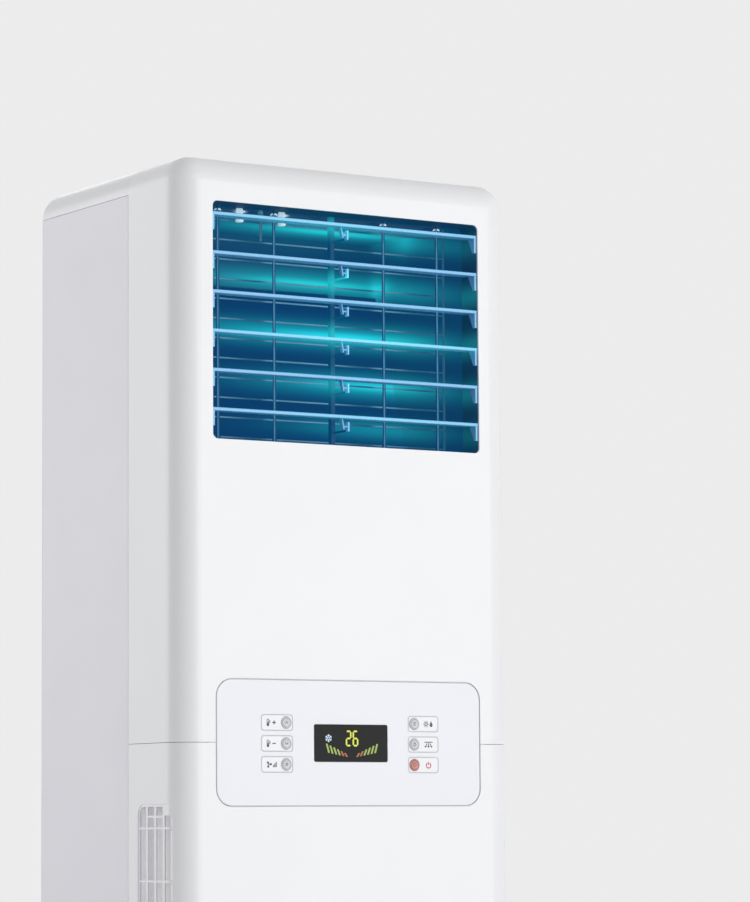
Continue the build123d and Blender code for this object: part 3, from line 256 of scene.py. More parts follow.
def glow_sum(shader, bands):
    """Soft patches of light in object space, each (centre, reach, strength) and for some a slope along Y."""
    total = None
    for centre, reach, strength, *slope in bands:
        place = leaning(shader, slope[0]) if slope else shader.place
        mapping = shader.add("ShaderNodeMapping")
        mapping.inputs["Scale"].default_value = tuple(1 / size for size in reach)
        mapping.inputs["Location"].default_value = tuple(-spot / size for spot, size in zip(centre, reach))
        shader.link(place, mapping.inputs["Vector"])
        square = shader.add("ShaderNodeVectorMath", operation="DOT_PRODUCT")
        shader.link(mapping.outputs["Vector"], square.inputs[0])
        shader.link(mapping.outputs["Vector"], square.inputs[1])
        negative = shader.add("ShaderNodeMath", operation="MULTIPLY")
        negative.inputs[1].default_value = -1
        shader.link(square.outputs["Value"], negative.inputs[0])
        power = shader.add("ShaderNodeMath", operation="EXPONENT")
        shader.link(negative.outputs[0], power.inputs[0])
        level = shader.add("ShaderNodeMath", operation="MULTIPLY_ADD")
        level.inputs[1].default_value = strength
        level.inputs[2].default_value = 0
        shader.link(power.outputs[0], level.inputs[0])
        if total is not None:
            shader.link(total, level.inputs[2])
        total = level.outputs[0]
    return total


def glowing(shader, deep, bands=(), bright=cyan):
    """Light of its own: a deep level everywhere and brighter bands."""
    shader.bsdf.inputs["Emission Color"].default_value = (*deep, 1)
    shader.bsdf.inputs["Emission Strength"].default_value = 1.0
    if not bands:
        return
    mix = shader.add("ShaderNodeMix", data_type="RGBA")
    mix.inputs["A"].default_value = (*deep, 1)
    mix.inputs["B"].default_value = (*bright, 1)
    shader.link(glow_sum(shader, bands), mix.inputs["Factor"])
    shader.link(mix.outputs["Result"], shader.bsdf.inputs["Emission Color"])


# ---------------------------------------------------------------- materials
cover_white = moulded("cover_white", (0.86, 0.865, 0.875), 0.38, coat=0.10)
cap_white = moulded("cap_white", (0.83, 0.835, 0.85), 0.34, coat=0.15)
fascia_white = moulded("fascia_white", (0.79, 0.80, 0.835), 0.32, coat=0.15, edge=0.0010)
panel_paint = powder_coat("panel_paint", (0.82, 0.82, 0.86))
plinth_grey = moulded("plinth_grey", (0.24, 0.25, 0.28), 0.55, depth=0.00006)
base_paint = powder_coat("base_paint", (0.09, 0.095, 0.105), 0.5)
rubber = moulded("rubber", (0.018, 0.018, 0.018), 0.75, depth=0.00008)
steel = drawn_metal("steel", (0.56, 0.57, 0.58), 0.3)
zinc_sheet = zinc("zinc_sheet", (0.55, 0.57, 0.59))
copper = drawn_metal("copper", (0.78, 0.36, 0.20), 0.3, tarnish=0.7)
brass = drawn_metal("brass", (0.76, 0.58, 0.27), 0.28)
louver_blue = moulded("louver_blue", (0.21, 0.54, 0.86), 0.35)
rod_blue = moulded("rod_blue", (0.02, 0.07, 0.12), 0.5)
cap_cyan = moulded("cap_cyan", clip_pale, 0.4)
frame_navy = moulded("frame_navy", (0.012, 0.035, 0.06), 0.5)
post_navy = moulded("post_navy", (0.001, 0.022, 0.045), 0.5)
duct_navy = moulded("duct_navy", (0.008, 0.06, 0.14), 0.5)
vane_blue = moulded("vane_blue", (0.01, 0.07, 0.13), 0.45)
guard_wire = powder_coat("guard_wire", (0.20, 0.40, 0.50), 0.35)
fin_blue = moulded("fin_blue", (0.01, 0.09, 0.20), 0.4)
pan_white = moulded("pan_white", (0.66, 0.69, 0.72), 0.5)
hose_grey = moulded("hose_grey", (0.55, 0.55, 0.56), 0.6)
scroll_grey = moulded("scroll_grey", (0.38, 0.40, 0.42), 0.5, depth=0.00005)
wheel_grey = moulded("wheel_grey", (0.06, 0.065, 0.075), 0.45)
motor_paint = powder_coat("motor_paint", (0.025, 0.027, 0.03), 0.4)
window_black = moulded("window_black", (0.006, 0.006, 0.007), 0.35)
label_white = moulded("label_white", (0.86, 0.87, 0.89), 0.35)
knob_grey = moulded("knob_grey", (0.62, 0.63, 0.65), 0.3, coat=0.2, edge=0.0002)
knob_red = moulded("knob_red", (0.55, 0.22, 0.19), 0.3, coat=0.2, edge=0.0002)
black_plastic = moulded("black_plastic", (0.015, 0.015, 0.017), 0.45)
board_green = moulded("board_green", (0.02, 0.12, 0.05), 0.3)
filter_grey = moulded("filter_grey", (0.88, 0.88, 0.90), 0.6)
filter_weave = moulded("filter_weave", (0.90, 0.90, 0.92), 0.7)

mark_dark = moulded("mark_dark", (0.05, 0.05, 0.055), 0.4)
mark_red = moulded("mark_red", (0.62, 0.02, 0.03), 0.4)
# painted shade: dark rings that lie in the buttons' grooves; the red one also prints the power button's icon
groove_shade_grey = moulded("groove_shade_grey", (0.10, 0.10, 0.11), 0.4, edge=0.0)
groove_shade_and_icon_red = moulded("groove_shade_and_icon_red", (0.22, 0.05, 0.04), 0.4, edge=0.0)
# painted shade along the edges of the raised label plates
plate_edge_shade_grey = moulded("plate_edge_shade_grey", (0.42, 0.43, 0.46), 0.4, edge=0.0)


def lit(name, color):
    """Lit segment of a display."""
    shader = moulded(name, tuple(value * 0.3 for value in color), 0.4)
    fade = shader.add("ShaderNodeMix", data_type="RGBA")
    fade.inputs["A"].default_value = (*(value * 0.8 for value in color), 1)
    fade.inputs["B"].default_value = (*color, 1)
    shader.link(shader.span(shader.noise(900, 2), 0, 1), fade.inputs["Factor"])
    shader.link(fade.outputs["Result"], shader.bsdf.inputs["Emission Color"])
    shader.bsdf.inputs["Emission Strength"].default_value = 1.0
    return shader


lit_yellow = lit("lit_yellow", (0.62, 0.66, 0.04))
lit_orange = lit("lit_orange", (0.34, 0.10, 0.03))
lit_green = lit("lit_green", (0.26, 0.36, 0.05))
lit_white = lit("lit_white", (0.62, 0.78, 0.95))

# light in the outlet: patches on the fins, on the back wall, ceiling and right wall of the duct,
# on the louvers and on the post
fin_bands = [
    ((0.13, 0.06, 1.569), (0.24, far, 0.017), 0.38),
    ((0.15, 0.06, 1.569), (0.12, far, 0.006), 0.50),
    ((0.19, 0.04, 1.501), (0.19, far, 0.016), 0.36),
    ((0.19, 0.04, 1.501), (0.10, far, 0.006), 0.40),
    ((0.18, 0.02, 1.4405), (0.14, far, 0.013), 0.24),
]
duct_bands = [
    ((0.12, 0.084, 1.642), (0.20, 0.03, 0.016), 0.38),
    ((0.11, 0.084, 1.642), (0.10, 0.03, 0.005), 0.45),
    ((0.085, 0.009, 1.703), (0.19, 0.055, 0.020), 0.34),
    ((0.095, 0.009, 1.703), (0.10, 0.02, 0.020), 0.45),
]
duct_bands += [((duct_wall_x, y, z), (0.01, reach_y, reach_z), strength, slope)
               for y, z, reach_y, reach_z, strength, slope in (
                   (0.060, 1.5595, 0.17, 0.017, 0.36, 0.155), (0.060, 1.5595, 0.10, 0.006, 0.30, 0.155),
                   (0.060, 1.4955, 0.15, 0.016, 0.34, 0.140), (0.060, 1.4955, 0.10, 0.006, 0.25, 0.140),
                   (0.050, 1.4380, 0.13, 0.013, 0.24, 0.125),
                   (0.060, 1.6275, 0.17, 0.016, 0.28, 0.169), (0.060, 1.6275, 0.06, 0.005, 0.06, 0.169),
                   (-0.03, 1.6930, 0.16, 0.014, 0.15, 0.170))]
front_bands = [
    ((-0.024, -0.17, 1.672), (0.16, far, 0.014), 0.30),
    ((0.003, -0.17, 1.597), (0.16, far, 0.012), 0.25),
    ((0.022, -0.17, 1.533), (0.20, far, 0.011), 0.60),
    ((0.046, -0.17, 1.432), (0.16, far, 0.010), 0.20),
]
post_bands = [((0.0, -0.14, z), (far, far, reach), strength) for z, reach, strength in
              ((1.679, 0.012, 0.50), (1.606, 0.014, 0.60), (1.538, 0.014, 0.60), (1.476, 0.014, 0.35))]
jamb_bands = [((0.2, -0.16, z), (0.02, far, 0.015), strength) for z, strength in
              ((1.666, 0.10), (1.6005, 0.16), (1.535, 0.18), (1.473, 0.16), (1.418, 0.10))]
clip_bands = [((x, rod_y, rod_z), (0.0058, far, far), 2.0) for x in clip_spots]
# more light on the filters' rear part, which the panel shades
filter_bands = [((side * 0.2335, -0.062, 0.5), (0.02, 0.020, far), 1.0) for side in (-1, 1)]
glowing(fin_blue, (0.0030, 0.038, 0.110), fin_bands)
glowing(duct_navy, (0.0028, 0.034, 0.095), duct_bands)
glowing(post_navy, (0.0010, 0.052, 0.140), post_bands)
glowing(frame_navy, (0.0015, 0.022, 0.060), jamb_bands)
glowing(vane_blue, (0.002, 0.030, 0.080))
glowing(guard_wire, (0.006, 0.050, 0.085))
glowing(cap_cyan, clip_glow)
glowing(rod_blue, (0.002, 0.022, 0.060), clip_bands, clip_glow)
glowing(filter_weave, (0.08, 0.08, 0.08), filter_bands, (0.27, 0.27, 0.28))
glowing(louver_blue, (0.0, 0.0, 0.0), front_bands, (0.0, 0.40, 0.35))


def along_y(shader, place, other, low, high):
    """Blends the base colour into another one along Y of a place, from low to high."""
    split = shader.add("ShaderNodeSeparateXYZ")
    shader.link(place, split.inputs["Vector"])
    shader.tint(shader.span(split.outputs["Y"], 0, 1, low, high), other)


for shader in (window_black, fin_blue, duct_navy, post_navy, frame_navy, vane_blue, guard_wire):
    shader.bsdf.inputs["Specular IOR Level"].default_value = matt

# white clips on the dark link rod
rod_blue.tint(glow_sum(rod_blue, clip_bands), clip_pale)
# painted highlight on the vanes' front edges, where they catch the light, as a share of the vane's depth
vane_highlight_share = vane_blue.add("ShaderNodeTexCoord").outputs["Generated"]
along_y(vane_blue, vane_highlight_share, (0.14, 0.36, 0.52), 0.05, 0.015)
# lighter lugs in front of the dark post
along_y(post_navy, post_navy.place, (0.30, 0.66, 0.92), front_y + 0.0135, front_y + 0.0115)

paint(cover_white, "upper_front_cover", "lower_front_panel")
paint(cap_white, "top_cap")
paint(fascia_white, "control_fascia")
paint(panel_paint, "left_side_panel", "right_side_panel", "back_panel")
paint(plinth_grey, "plinth")
paint(base_paint, "base_pan")
paint(rubber, "rubber_feet", "pipe_grommet")
paint(steel, "panel_screws", "motor_shaft")
paint(zinc_sheet, "partition_plate", "motor_bracket", "electrical_box", "electrical_lid", "swing_motor")
paint(copper, "evaporator_tubes", "refrigerant_pipes")
paint(brass, "flare_nuts")
paint(louver_blue, "louver_link_bar", *[f"louver_{n}" for n in range(1, 7)])
paint(rod_blue, "vane_link_rod")
paint(guard_wire, "swing_crank")
paint(frame_navy, "outlet_frame")
paint(post_navy, "louver_post")
paint(duct_navy, "outlet_duct", "evaporator_end_plates")
paint(vane_blue, *[f"vane_{n}" for n in range(1, 5)])
paint(guard_wire, "guard_grid")
paint(fin_blue, "evaporator_fins")
paint(pan_white, "drain_pan")
paint(hose_grey, "drain_hose")
paint(scroll_grey, "volute", "inlet_ring")
paint(wheel_grey, "impeller")
paint(motor_paint, "fan_motor")
paint(window_black, "display_window")
paint(label_white, "label_plates")
paint(knob_grey, *[f"button_{n}" for n in range(1, 6)])
paint(knob_red, "button_6")
paint(black_plastic, "terminal_block", "cable_gland")
paint(board_green, "control_board", "main_board")
paint(filter_grey, "filter_left", "filter_right")


# ---------------------------------------------------------------- shapes
def add_box(bm, low, high):
    """One box into a bmesh."""
    made = bmesh.ops.create_cube(bm, size=1)["verts"]
    size = Vector(high) - Vector(low)
    middle = (Vector(high) + Vector(low)) / 2
    matrix = Matrix.Translation(middle) @ Matrix.Diagonal((*size, 1))
    bmesh.ops.transform(bm, matrix=matrix, verts=made)


def bevel(piece, width):
    edges = piece.modifiers.new("edges", "BEVEL")
    edges.width = width
    edges.segments = 2
    edges.limit_method = "ANGLE"


def lathe(profile, x, y, z, sides=48):
    """Turned body about an axis along Y: profile of (radius, y) from axis to axis."""
    bm = bmesh.new()
    rings = []
    for radius, along in profile:
        if radius == 0:
            rings.append([bm.verts.new((x, y + along, z))])
            continue
        angles = [tau * side / sides for side in range(sides)]
        rings.append([bm.verts.new((x + radius * cos(a), y + along, z + radius * sin(a))) for a in angles])
    for one, two in zip(rings, rings[1:]):
        for side in range(sides):
            after = (side + 1) % sides
            corners = [one[side % len(one)], one[after % len(one)]]
            corners += [two[after % len(two)], two[side % len(two)]]
            bm.faces.new(list(dict.fromkeys(corners)))
    for face in bm.faces:
        face.smooth = True
    return bm


def flat_marks(name, shapes, y, shader, body="cabinet"):
    """Thin marks on a face that looks forward, each a polygon of (x, z)."""
    bm = bmesh.new()
    for shape in shapes:
        front = [bm.verts.new((x, y - ink, z)) for x, z in shape]
        back = [bm.verts.new((x, y, z)) for x, z in shape]
        bm.faces.new(front)
        bm.faces.new(back[::-1])
        for number, corner in enumerate(front):
            after = (number + 1) % len(front)
            bm.faces.new((corner, back[number], back[after], front[after]))
    add_mesh(name, bm, shader, body)


def stroke(x0, z0, x1, z1, width):
    """Straight mark with square ends."""
    along = Vector((x1 - x0, z1 - z0)).normalized() * width / 2
    side = Vector((-along.y, along.x))
    start = Vector((x0, z0))
    end = Vector((x1, z1))
    return [tuple(start + side), tuple(start - side), tuple(end - side), tuple(end + side)]


def disc(x, z, radius):
    sides = 20
    return [(x + radius * cos(tau * n / sides), z + radius * sin(tau * n / sides)) for n in range(sides)]


def band(x, z, radius, width, start=0, end=360, sides=28):
    """Ring or part of a ring, as quads; angles from the right, counterclockwise."""
    quads = []
    for number in range(sides):
        a0 = radians(start + (end - start) * number / sides)
        a1 = radians(start + (end - start) * (number + 1) / sides)
        inner = radius - width / 2
        outer = radius + width / 2
        quads.append([(x + r * cos(a), z + r * sin(a)) for r, a in
                      ((inner, a0), (outer, a0), (outer, a1), (inner, a1))])
    return quads


# ---------------------------------------------------------------- coil
coil_lean = radians(19)
coil_t = 0.044
coil_l = 0.560
coil_foot = Vector((0, fins_low.y + coil_t / 2 * cos(coil_lean), fins_low.z + coil_t / 2 * sin(coil_lean)))
coil_place = Matrix.Translation(coil_foot) @ Matrix.Rotation(-coil_lean, 4, "X")
coil_half = fins_high.x


def make_fins():
    """Thin corrugated fins in place of the grooved slab."""
    pitch = 0.0018
    sheet = 0.00016
    wave = 0.00030
    steps = 8
    count = int(2 * coil_half / pitch)
    bm = bmesh.new()
    for number in range(count):
        x = -coil_half + (number + 0.5) * 2 * coil_half / count
        rows = []
        for step in range(steps + 1):
            y = coil_t * (step / steps - 0.5)
            bend = x + (wave if step % 2 else -wave)
            rows.append([bm.verts.new(coil_place @ Vector((bend + side * sheet / 2, y, z)))
                         for side, z in ((-1, 0), (1, 0), (1, coil_l), (-1, coil_l))])
        for one, two in zip(rows, rows[1:]):
            for corner in range(4):
                after = (corner + 1) % 4
                bm.faces.new((one[corner], one[after], two[after], two[corner]))
        bm.faces.new(rows[0])
        bm.faces.new(rows[-1][::-1])
    fins = add_mesh("coil_fins", bm, fin_blue)
    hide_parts("evaporator_fins")


def make_tubes():
    """Straight copper tubes through the fins."""
    tube_pitch = 0.0254
    first = (coil_l - 19 * tube_pitch) / 2
    bm = bmesh.new()
    for across in (-0.011, 0.011):
        for row in range(20):
            spot = coil_place @ Vector((0, across, first + row * tube_pitch))
            turn = Matrix.Translation(spot) @ Matrix.Rotation(tau / 4, 4, "Y")
            bmesh.ops.create_cone(bm, cap_ends=True, segments=12, radius1=0.0035, radius2=0.0035,
                                  depth=2 * coil_half, matrix=turn)
    add_mesh("coil_tube_runs", bm, copper)


# ---------------------------------------------------------------- air filters
def make_filter(side):
    """Frame with ribs and a woven mesh in place of the plain filter."""
    node = f"filter_{side}"
    low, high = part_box(node)
    rib = 0.006
    half_bar = 0.0022
    rows = 8
    middle = (low.x + high.x) / 2
    inner_d = (high.x - low.x) / 2 * 0.7
    near = low.y + rib * 0.8
    end = high.y - rib * 0.8
    bm = bmesh.new()
    add_box(bm, low, (high.x, low.y + rib, high.z))
    add_box(bm, (low.x, high.y - rib, low.z), high)
    add_box(bm, (low.x, near, low.z), (high.x, end, low.z + rib))
    add_box(bm, (low.x, near, high.z - rib), (high.x, end, high.z))
    for row in range(1, rows):
        z = low.z + row * (high.z - low.z - rib) / rows + rib / 2
        add_box(bm, (middle - inner_d, near, z - half_bar), (middle + inner_d, end, z + half_bar))
    y = (low.y + high.y) / 2
    foot = low.z + rib * 0.8
    head = high.z - rib * 0.8
    add_box(bm, (middle - inner_d, y - half_bar, foot), (middle + inner_d, y + half_bar, head))
    frame_piece = add_mesh(f"filter_frame_{side}", bm, filter_grey, f"{side}_filter")
    bevel(frame_piece, 0.0006)
    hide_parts(node)
    pitch = 0.0010
    thread = 0.00042  # half a thread's width
    thread_t = 0.0004
    middle += (half_bar if middle > 0 else -half_bar)
    bm = bmesh.new()
    across = int((high.y - low.y - rib) / pitch)
    upright = int((high.z - low.z - rib) / pitch)
    for number in range(across):
        y = low.y + rib / 2 + (number + 0.5) * pitch
        add_box(bm, (middle, y - thread, low.z + rib / 2), (middle + thread_t, y + thread, high.z - rib / 2))
    for number in range(upright):
        z = low.z + rib / 2 + (number + 0.5) * pitch
        add_box(bm, (middle - thread_t, low.y + rib / 2, z - thread), (middle, high.y - rib / 2, z + thread))
    add_mesh(f"filter_mesh_{side}", bm, filter_weave, f"{side}_filter")


# ---------------------------------------------------------------- collars above the vanes
def make_collars():
    """Domed collars on the vanes' upper pivots."""
    rise = 1.6888
    profile = [(0, 0), (0.0044, 0), (0.0046, 0.0006), (0.0043, 0.0015), (0.0032, 0.0024), (0, 0.0026)]
    for number, x in enumerate(vane_spots, start=1):
        bm = lathe(profile, 0, 0, 0, 32)
        stand = Matrix.Translation((x, vane_y, rise)) @ Matrix.Rotation(tau / 4, 4, "X")
        bmesh.ops.transform(bm, matrix=stand, verts=bm.verts)
        add_mesh(f"vane_collar_{number}", bm, cap_cyan, f"vane_{number}")


# ---------------------------------------------------------------- display
def make_display():
    """Temperature in seven segments, a snowflake and two groups of level bars."""
    y = window_low.y
    middle = (window_low.x + window_high.x) / 2
    level = (window_low.z + window_high.z) / 2
    lit_shapes = []
    segments = {"a": (0, 2, 1, 2), "b": (1, 2, 1, 1), "c": (1, 1, 1, 0), "d": (0, 0, 1, 0),
                "e": (0, 1, 0, 0), "f": (0, 2, 0, 1), "g": (0, 1, 1, 1)}
    width = 0.0064
    height = 0.0090
    for number, names in enumerate(("abged", "afgedc")):
        x = middle - 0.0068 + number * 0.0102
        z = level - 0.0029
        for name in names:
            x0, z0, x1, z1 = segments[name]
            start = Vector((x + x0 * width, z + z0 * height))
            end = Vector((x + x1 * width, z + z1 * height))
            along = (end - start).normalized()
            side = Vector((-along.y, along.x)) * 0.0011
            inset = along * 0.0003
            tip = along * 0.0011
            start += inset
            end -= inset
            outline = (start, start + tip + side, end - tip + side, end, end - tip - side, start + tip - side)
            lit_shapes.append([tuple(corner) for corner in outline])
    warm_shapes = []
    level_shapes = []
    for side in (-1, 1):
        for number in range(6):
            x = middle + 0.0015 + side * (0.0060 + number * 0.0054)
            z = level - 0.0172 + number * 0.0010
            tall = 0.0050 + number * 0.0013
            lean = side * 0.0034
            bar = [(x, z), (x + side * 0.0026, z), (x + side * 0.0026 + lean, z + tall), (x + lean, z + tall)]
            (warm_shapes if number < 2 else level_shapes).append(bar)
    flat_marks("display_digits", lit_shapes, y, lit_yellow)
    flat_marks("display_bars", level_shapes, y, lit_green)
    flat_marks("display_low_bars", warm_shapes, y, lit_orange)
    x = middle - 0.0334
    z = level + 0.0062
    flake = band(x, z, 0.0014, 0.0006, sides=12)
    for number in range(6):
        angle = tau * number / 6 + tau / 12
        tip = (x + 0.0050 * cos(angle), z + 0.0050 * sin(angle))
        flake.append(stroke(x + 0.0012 * cos(angle), z + 0.0012 * sin(angle), *tip, 0.0009))
        root = (x + 0.0030 * cos(angle), z + 0.0030 * sin(angle))
        for turn in (-1, 1):
            branch = angle + turn * tau / 6
            twig = (root[0] + 0.0018 * cos(branch), root[1] + 0.0018 * sin(branch))
            flake.append(stroke(*root, *twig, 0.0008))
    flat_marks("display_snowflake", flake, y, lit_white)


# ---------------------------------------------------------------- pictograms on the label plates
line = 0.0011


def thermometer(x, z):
    shapes = [disc(x, z - 0.0029, 0.0018)]
    shapes += band(x, z + 0.0029, 0.0013, line * 0.8, 0, 180, 10)
    shapes += [stroke(x - 0.0013, z - 0.0016, x - 0.0013, z + 0.0029, line * 0.8)]
    shapes += [stroke(x + 0.0013, z - 0.0016, x + 0.0013, z + 0.0029, line * 0.8)]
    shapes += [stroke(x, z - 0.0029, x, z + 0.0012, line * 0.8)]
    for step in range(3):
        level = z - 0.0004 + step * 0.0014
        shapes.append(stroke(x + 0.0022, level, x + 0.0036, level, line * 0.7))
    return shapes


def temperature_up(x, z):
    shapes = thermometer(x - 0.0052, z)
    shapes.append(stroke(x + 0.0012, z, x + 0.0062, z, line * 1.2))
    return shapes + [stroke(x + 0.0037, z - 0.0025, x + 0.0037, z + 0.0025, line * 1.2)]


def temperature_down(x, z):
    return thermometer(x - 0.0052, z) + [stroke(x + 0.0012, z, x + 0.0062, z, line * 1.2)]


def fan_speed(x, z):
    """Fan with three blades and rising bars."""
    x0 = x - 0.0038
    shapes = [disc(x0, z, 0.0009)]
    for number in range(3):
        angle = tau * number / 3 + tau / 4
        blade = []
        for step in range(9):
            turn = angle + 1.25 * step / 8
            reach = 0.0043 * (0.45 + 0.55 * sin(pi * step / 8) ** 0.6)
            blade.append((x0 + reach * cos(turn), z + reach * sin(turn)))
        blade.append((x0 + 0.0010 * cos(angle + 0.9), z + 0.0010 * sin(angle + 0.9)))
        shapes.append(blade)
    for number in range(3):
        bar_x = x + 0.0026 + number * 0.0020
        shapes.append(stroke(bar_x, z - 0.0034, bar_x, z - 0.0010 + number * 0.0021, line * 1.2))
    return shapes


def sun_and_drop(x, z):
    """Sun beside a drop, for the choice of mode."""
    x0 = x - 0.0035
    shapes = band(x0, z, 0.0018, line, sides=16)
    for number in range(8):
        angle = tau * number / 8
        shapes.append(stroke(x0 + 0.0029 * cos(angle), z + 0.0029 * sin(angle),
                             x0 + 0.0043 * cos(angle), z + 0.0043 * sin(angle), line * 0.9))
    x1 = x + 0.0042
    drop = [(x1, z + 0.0040)]
    for step in range(13):
        angle = radians(25) - radians(230) * step / 12
        drop.append((x1 + 0.0023 * cos(angle), z - 0.0014 + 0.0023 * sin(angle)))
    return shapes + [drop]


def swing_pictogram(x, z):
    """Slats with air fanning out of them."""
    shapes = [stroke(x - 0.0062, z + 0.0030, x + 0.0062, z + 0.0030, line)]
    for number in (-1, 0, 1):
        foot = x + number * 0.0046
        shapes.append(stroke(x + number * 0.0022, z + 0.0016, foot, z - 0.0032, line))
        shapes.append(stroke(foot, z - 0.0036, foot - 0.0012, z - 0.0020, line * 0.8))
        shapes.append(stroke(foot, z - 0.0036, foot + 0.0012, z - 0.0020, line * 0.8))
    return shapes


def power_pictogram(x, z):
    shapes = band(x, z - 0.0004, 0.0034, line * 1.2, 125, 415, 26)
    return shapes + [stroke(x, z, x, z + 0.0042, line * 1.2)]


label_text_x = 0.117
knob_x = 0.0955
label_shift = 0.0135  # from a button's axis to the middle of its plate
knob_rise = (0.0252, -0.0009, -0.0270)
pictograms = {1: temperature_up, 2: temperature_down, 3: fan_speed,
              4: sun_and_drop, 5: swing_pictogram, 6: power_pictogram}


def label_outline(x, z, side):
    """Grey line round a label plate: painted shade along the raised plate's edge."""
    half_w = 0.0224
    half_h = 0.0094
    radius = 0.0036
    middle = x + side * label_shift
    width = 0.0006
    shapes = [stroke(middle - half_w + radius, z + rise, middle + half_w - radius, z + rise, width)
              for rise in (-half_h, half_h)]
    shapes += [stroke(middle + shift, z - half_h + radius, middle + shift, z + half_h - radius, width)
               for shift in (-half_w, half_w)]
    for number, (turn_x, turn_z) in enumerate(((1, 1), (-1, 1), (-1, -1), (1, -1))):
        spot = (middle + turn_x * (half_w - radius), z + turn_z * (half_h - radius))
        shapes += band(*spot, radius, width, 90 * number, 90 * number + 90, 6)
    return shapes


def make_pictograms():
    for number, draw in pictograms.items():
        side = -1 if number <= 3 else 1
        z = seam_z + knob_rise[(number - 1) % 3]
        shader = mark_red if number == 6 else mark_dark
        flat_marks(f"pictogram_{number}", draw(side * label_text_x, z), front_y, shader)
        flat_marks(f"label_outline_{number}", label_outline(side * knob_x, z, side), front_y, plate_edge_shade_grey)


# ---------------------------------------------------------------- buttons
def button_icon(number, x, z):
    """Small mark on a button."""
    if number in (1, 2):
        rise = 0.0013 if number == 1 else -0.0013
        return [stroke(x - 0.0021, z - rise, x + 0.0002, z + rise, 0.0008),
                stroke(x - 0.0002, z + rise, x + 0.0021, z - rise, 0.0008)]
    if number == 3:
        reach = 0.0022
        blades = []
        for quarter in range(4):
            corners = [(x + reach * cos(a), z + reach * sin(a))
                       for a in (0.2 + tau * quarter / 4, 1.0 + tau * quarter / 4)]
            blades.append([(x, z), *corners])
        return blades
    if number == 4:
        return [stroke(x - 0.0018, z + rise, x + 0.0018, z + rise, 0.0007) for rise in (-0.0016, 0, 0.0016)]
    if number == 5:
        return [stroke(x - 0.0020, z, x, z + 0.0024, 0.0007), stroke(x, z + 0.0024, x + 0.0020, z, 0.0007),
                stroke(x + 0.0020, z, x, z - 0.0024, 0.0007), stroke(x, z - 0.0024, x - 0.0020, z, 0.0007)]
    return band(x, z, 0.0018, 0.0007, 125, 415, 20) + [stroke(x, z, x, z + 0.0024, 0.0007)]


def make_buttons():
    """Turned buttons with a raised ring round a shallow dish."""
    low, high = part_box("button_1")
    face = low.y
    depth = high.y - low.y
    dish = [(0, 0.00045), (0.0036, 0.00040), (0.0043, 0.00015), (0.0047, 0.0), (0.0052, 0.0)]
    groove = [(0.0055, 0.0002), (0.0057, 0.0006), (0.0060, 0.0006), (0.0062, 0.0003)]
    rim = [(0.0067, 0.0003), (0.0072, 0.0006), (0.0075, 0.0013)]
    flange = [(0.0075, 0.0043), (0.0093, 0.0043), (0.0093, 0.0055), (0.0020, 0.0055)]
    profile = [*dish, *groove, *rim, *flange, (0.0020, depth), (0, depth)]
    for number in range(1, 7):
        side = -1 if number <= 3 else 1
        x = side * knob_x
        z = seam_z + knob_rise[(number - 1) % 3]
        shader = knob_red if number == 6 else knob_grey
        cap = add_mesh(f"button_cap_{number}", lathe(profile, x, face, z), shader, f"button_{number}")
        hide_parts(f"button_{number}")
        # painted shade in the groove round the button's dish
        circle = band(x, z, 0.00585, 0.0007, sides=40)
        ring = groove_shade_and_icon_red if number == 6 else groove_shade_grey
        flat_marks(f"button_groove_{number}", circle, face + 0.00062, ring, f"button_{number}")
        icon = groove_shade_and_icon_red if number == 6 else mark_dark
        marks = button_icon(number, x, z)
        flat_marks(f"button_icon_{number}", marks, face + 0.00046, icon, f"button_{number}")


make_fins()
make_tubes()
make_filter("left")
make_filter("right")
make_collars()
make_display()
make_pictograms()
make_buttons()


# ---------------------------------------------------------------- floor, light and camera
def make_floor():
    """Pale floor that fades into the background away from the object."""
    bm = bmesh.new()
    bmesh.ops.create_circle(bm, cap_ends=True, segments=96, radius=9)
    mesh = bpy.data.meshes.new("floor")
    bm.to_mesh(mesh)
    bm.free()
    floor = bpy.data.objects.new("floor", mesh)
    floor.location.z = -0.0005
    bpy.context.scene.collection.objects.link(floor)
    shader = Shader("floor", (0.80, 0.80, 0.81), 0.6)
    tree = shader.tree
    output = tree.nodes["Material Output"]
    backdrop = shader.add("ShaderNodeEmission")
    backdrop.inputs["Color"].default_value = background
    distance = shader.add("ShaderNodeVectorMath", operation="LENGTH")
    shader.link(shader.place, distance.inputs[0])
    fade = shader.span(distance.outputs["Value"], 0, 1, 0.8, 3.2)
    path = shader.add("ShaderNodeLightPath")
    seen = shader.add("ShaderNodeMath", operation="MULTIPLY")
    shader.link(fade, seen.inputs[0])
    shader.link(path.outputs["Is Camera Ray"], seen.inputs[1])
    mix = shader.add("ShaderNodeMixShader")
    shader.link(seen.outputs[0], mix.inputs[0])
    shader.link(shader.bsdf.outputs[0], mix.inputs[1])
    shader.link(backdrop.outputs[0], mix.inputs[2])
    shader.link(mix.outputs[0], output.inputs["Surface"])
    mesh.materials.append(shader.material)


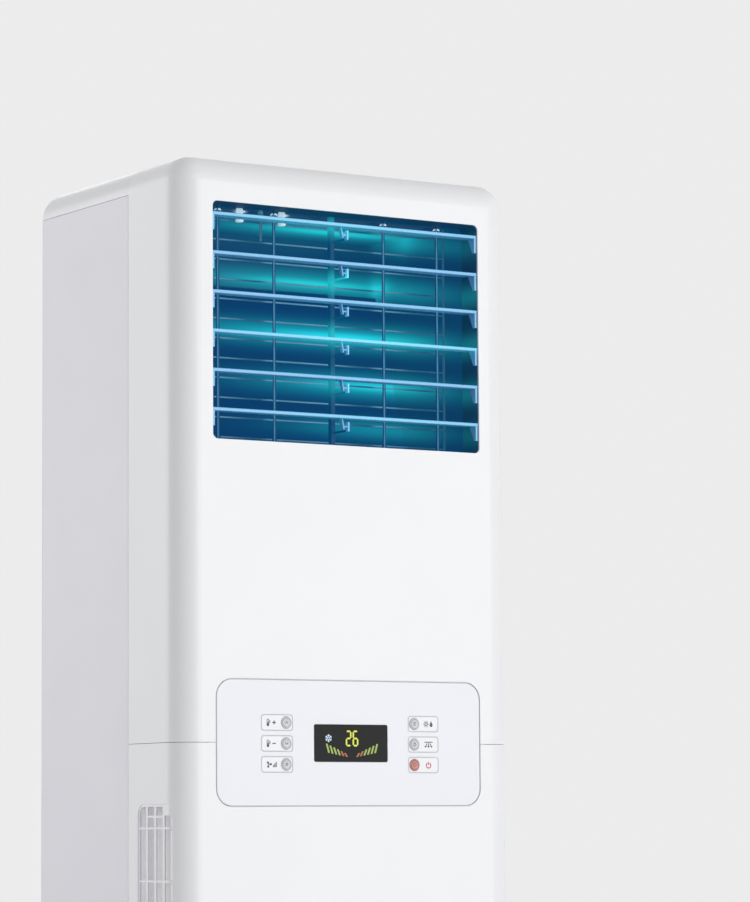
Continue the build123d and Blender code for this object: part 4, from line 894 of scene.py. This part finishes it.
def make_world():
    """Even pale surroundings: what the camera sees is lighter than what lights the object."""
    world = bpy.data.worlds.new("studio")
    bpy.context.scene.world = world
    world.use_nodes = True
    tree = world.node_tree
    tree.nodes.clear()
    output = tree.nodes.new("ShaderNodeOutputWorld")
    ambient = tree.nodes.new("ShaderNodeBackground")
    ambient.inputs["Color"].default_value = (1.0, 1.0, 1.02, 1)
    ambient.inputs["Strength"].default_value = 0.50
    seen = tree.nodes.new("ShaderNodeBackground")
    seen.inputs["Color"].default_value = background
    path = tree.nodes.new("ShaderNodeLightPath")
    mirror = tree.nodes.new("ShaderNodeMath")
    mirror.operation = "MAXIMUM"
    clear = tree.nodes.new("ShaderNodeMath")
    clear.operation = "MAXIMUM"
    mix = tree.nodes.new("ShaderNodeMixShader")
    tree.links.new(path.outputs["Is Camera Ray"], mirror.inputs[0])
    tree.links.new(path.outputs["Is Glossy Ray"], mirror.inputs[1])
    tree.links.new(mirror.outputs[0], clear.inputs[0])
    tree.links.new(path.outputs["Is Transmission Ray"], clear.inputs[1])
    tree.links.new(clear.outputs[0], mix.inputs[0])
    tree.links.new(ambient.outputs[0], mix.inputs[1])
    tree.links.new(seen.outputs[0], mix.inputs[2])
    tree.links.new(mix.outputs[0], output.inputs["Surface"])


def softbox(name, spot, aim, size, power):
    lamp = bpy.data.lights.new(name, "AREA")
    lamp.shape = "SQUARE"
    lamp.size = size
    lamp.energy = power
    light = bpy.data.objects.new(name, lamp)
    light.location = spot
    light.rotation_euler = (Vector(aim) - Vector(spot)).to_track_quat("-Z", "Y").to_euler()
    bpy.context.scene.collection.objects.link(light)


def make_camera():
    lens = bpy.data.cameras.new("camera")
    lens.lens = camera_lens
    lens.sensor_width = 36
    lens.sensor_fit = "AUTO"
    camera = bpy.data.objects.new("camera", lens)
    level = cos(camera_pitch)
    ahead = Vector((sin(camera_yaw) * level, cos(camera_yaw) * level, sin(camera_pitch)))
    flat_right = Vector((cos(camera_yaw), -sin(camera_yaw), 0))
    flat_up = flat_right.cross(ahead)
    right = flat_right * cos(camera_roll) + flat_up * sin(camera_roll)
    up = flat_up * cos(camera_roll) - flat_right * sin(camera_roll)
    turn = Matrix((right, up, -ahead)).transposed()
    camera.matrix_world = Matrix.Translation(camera_spot) @ turn.to_4x4()
    bpy.context.scene.collection.objects.link(camera)
    bpy.context.scene.camera = camera


clean_scene()
make_floor()
make_world()
softbox("key", (2.0, -4.8, 1.7), (0, 0, 1.0), 3.0, 116)
softbox("side", (-2.9, 2.8, 1.9), (0, 0, 1.1), 2.4, 39)
softbox("back", (1.6, 3.4, 2.4), (0, 0, 1.1), 2.4, 22)
make_camera()
bpy.context.scene.view_settings.view_transform = "Standard"
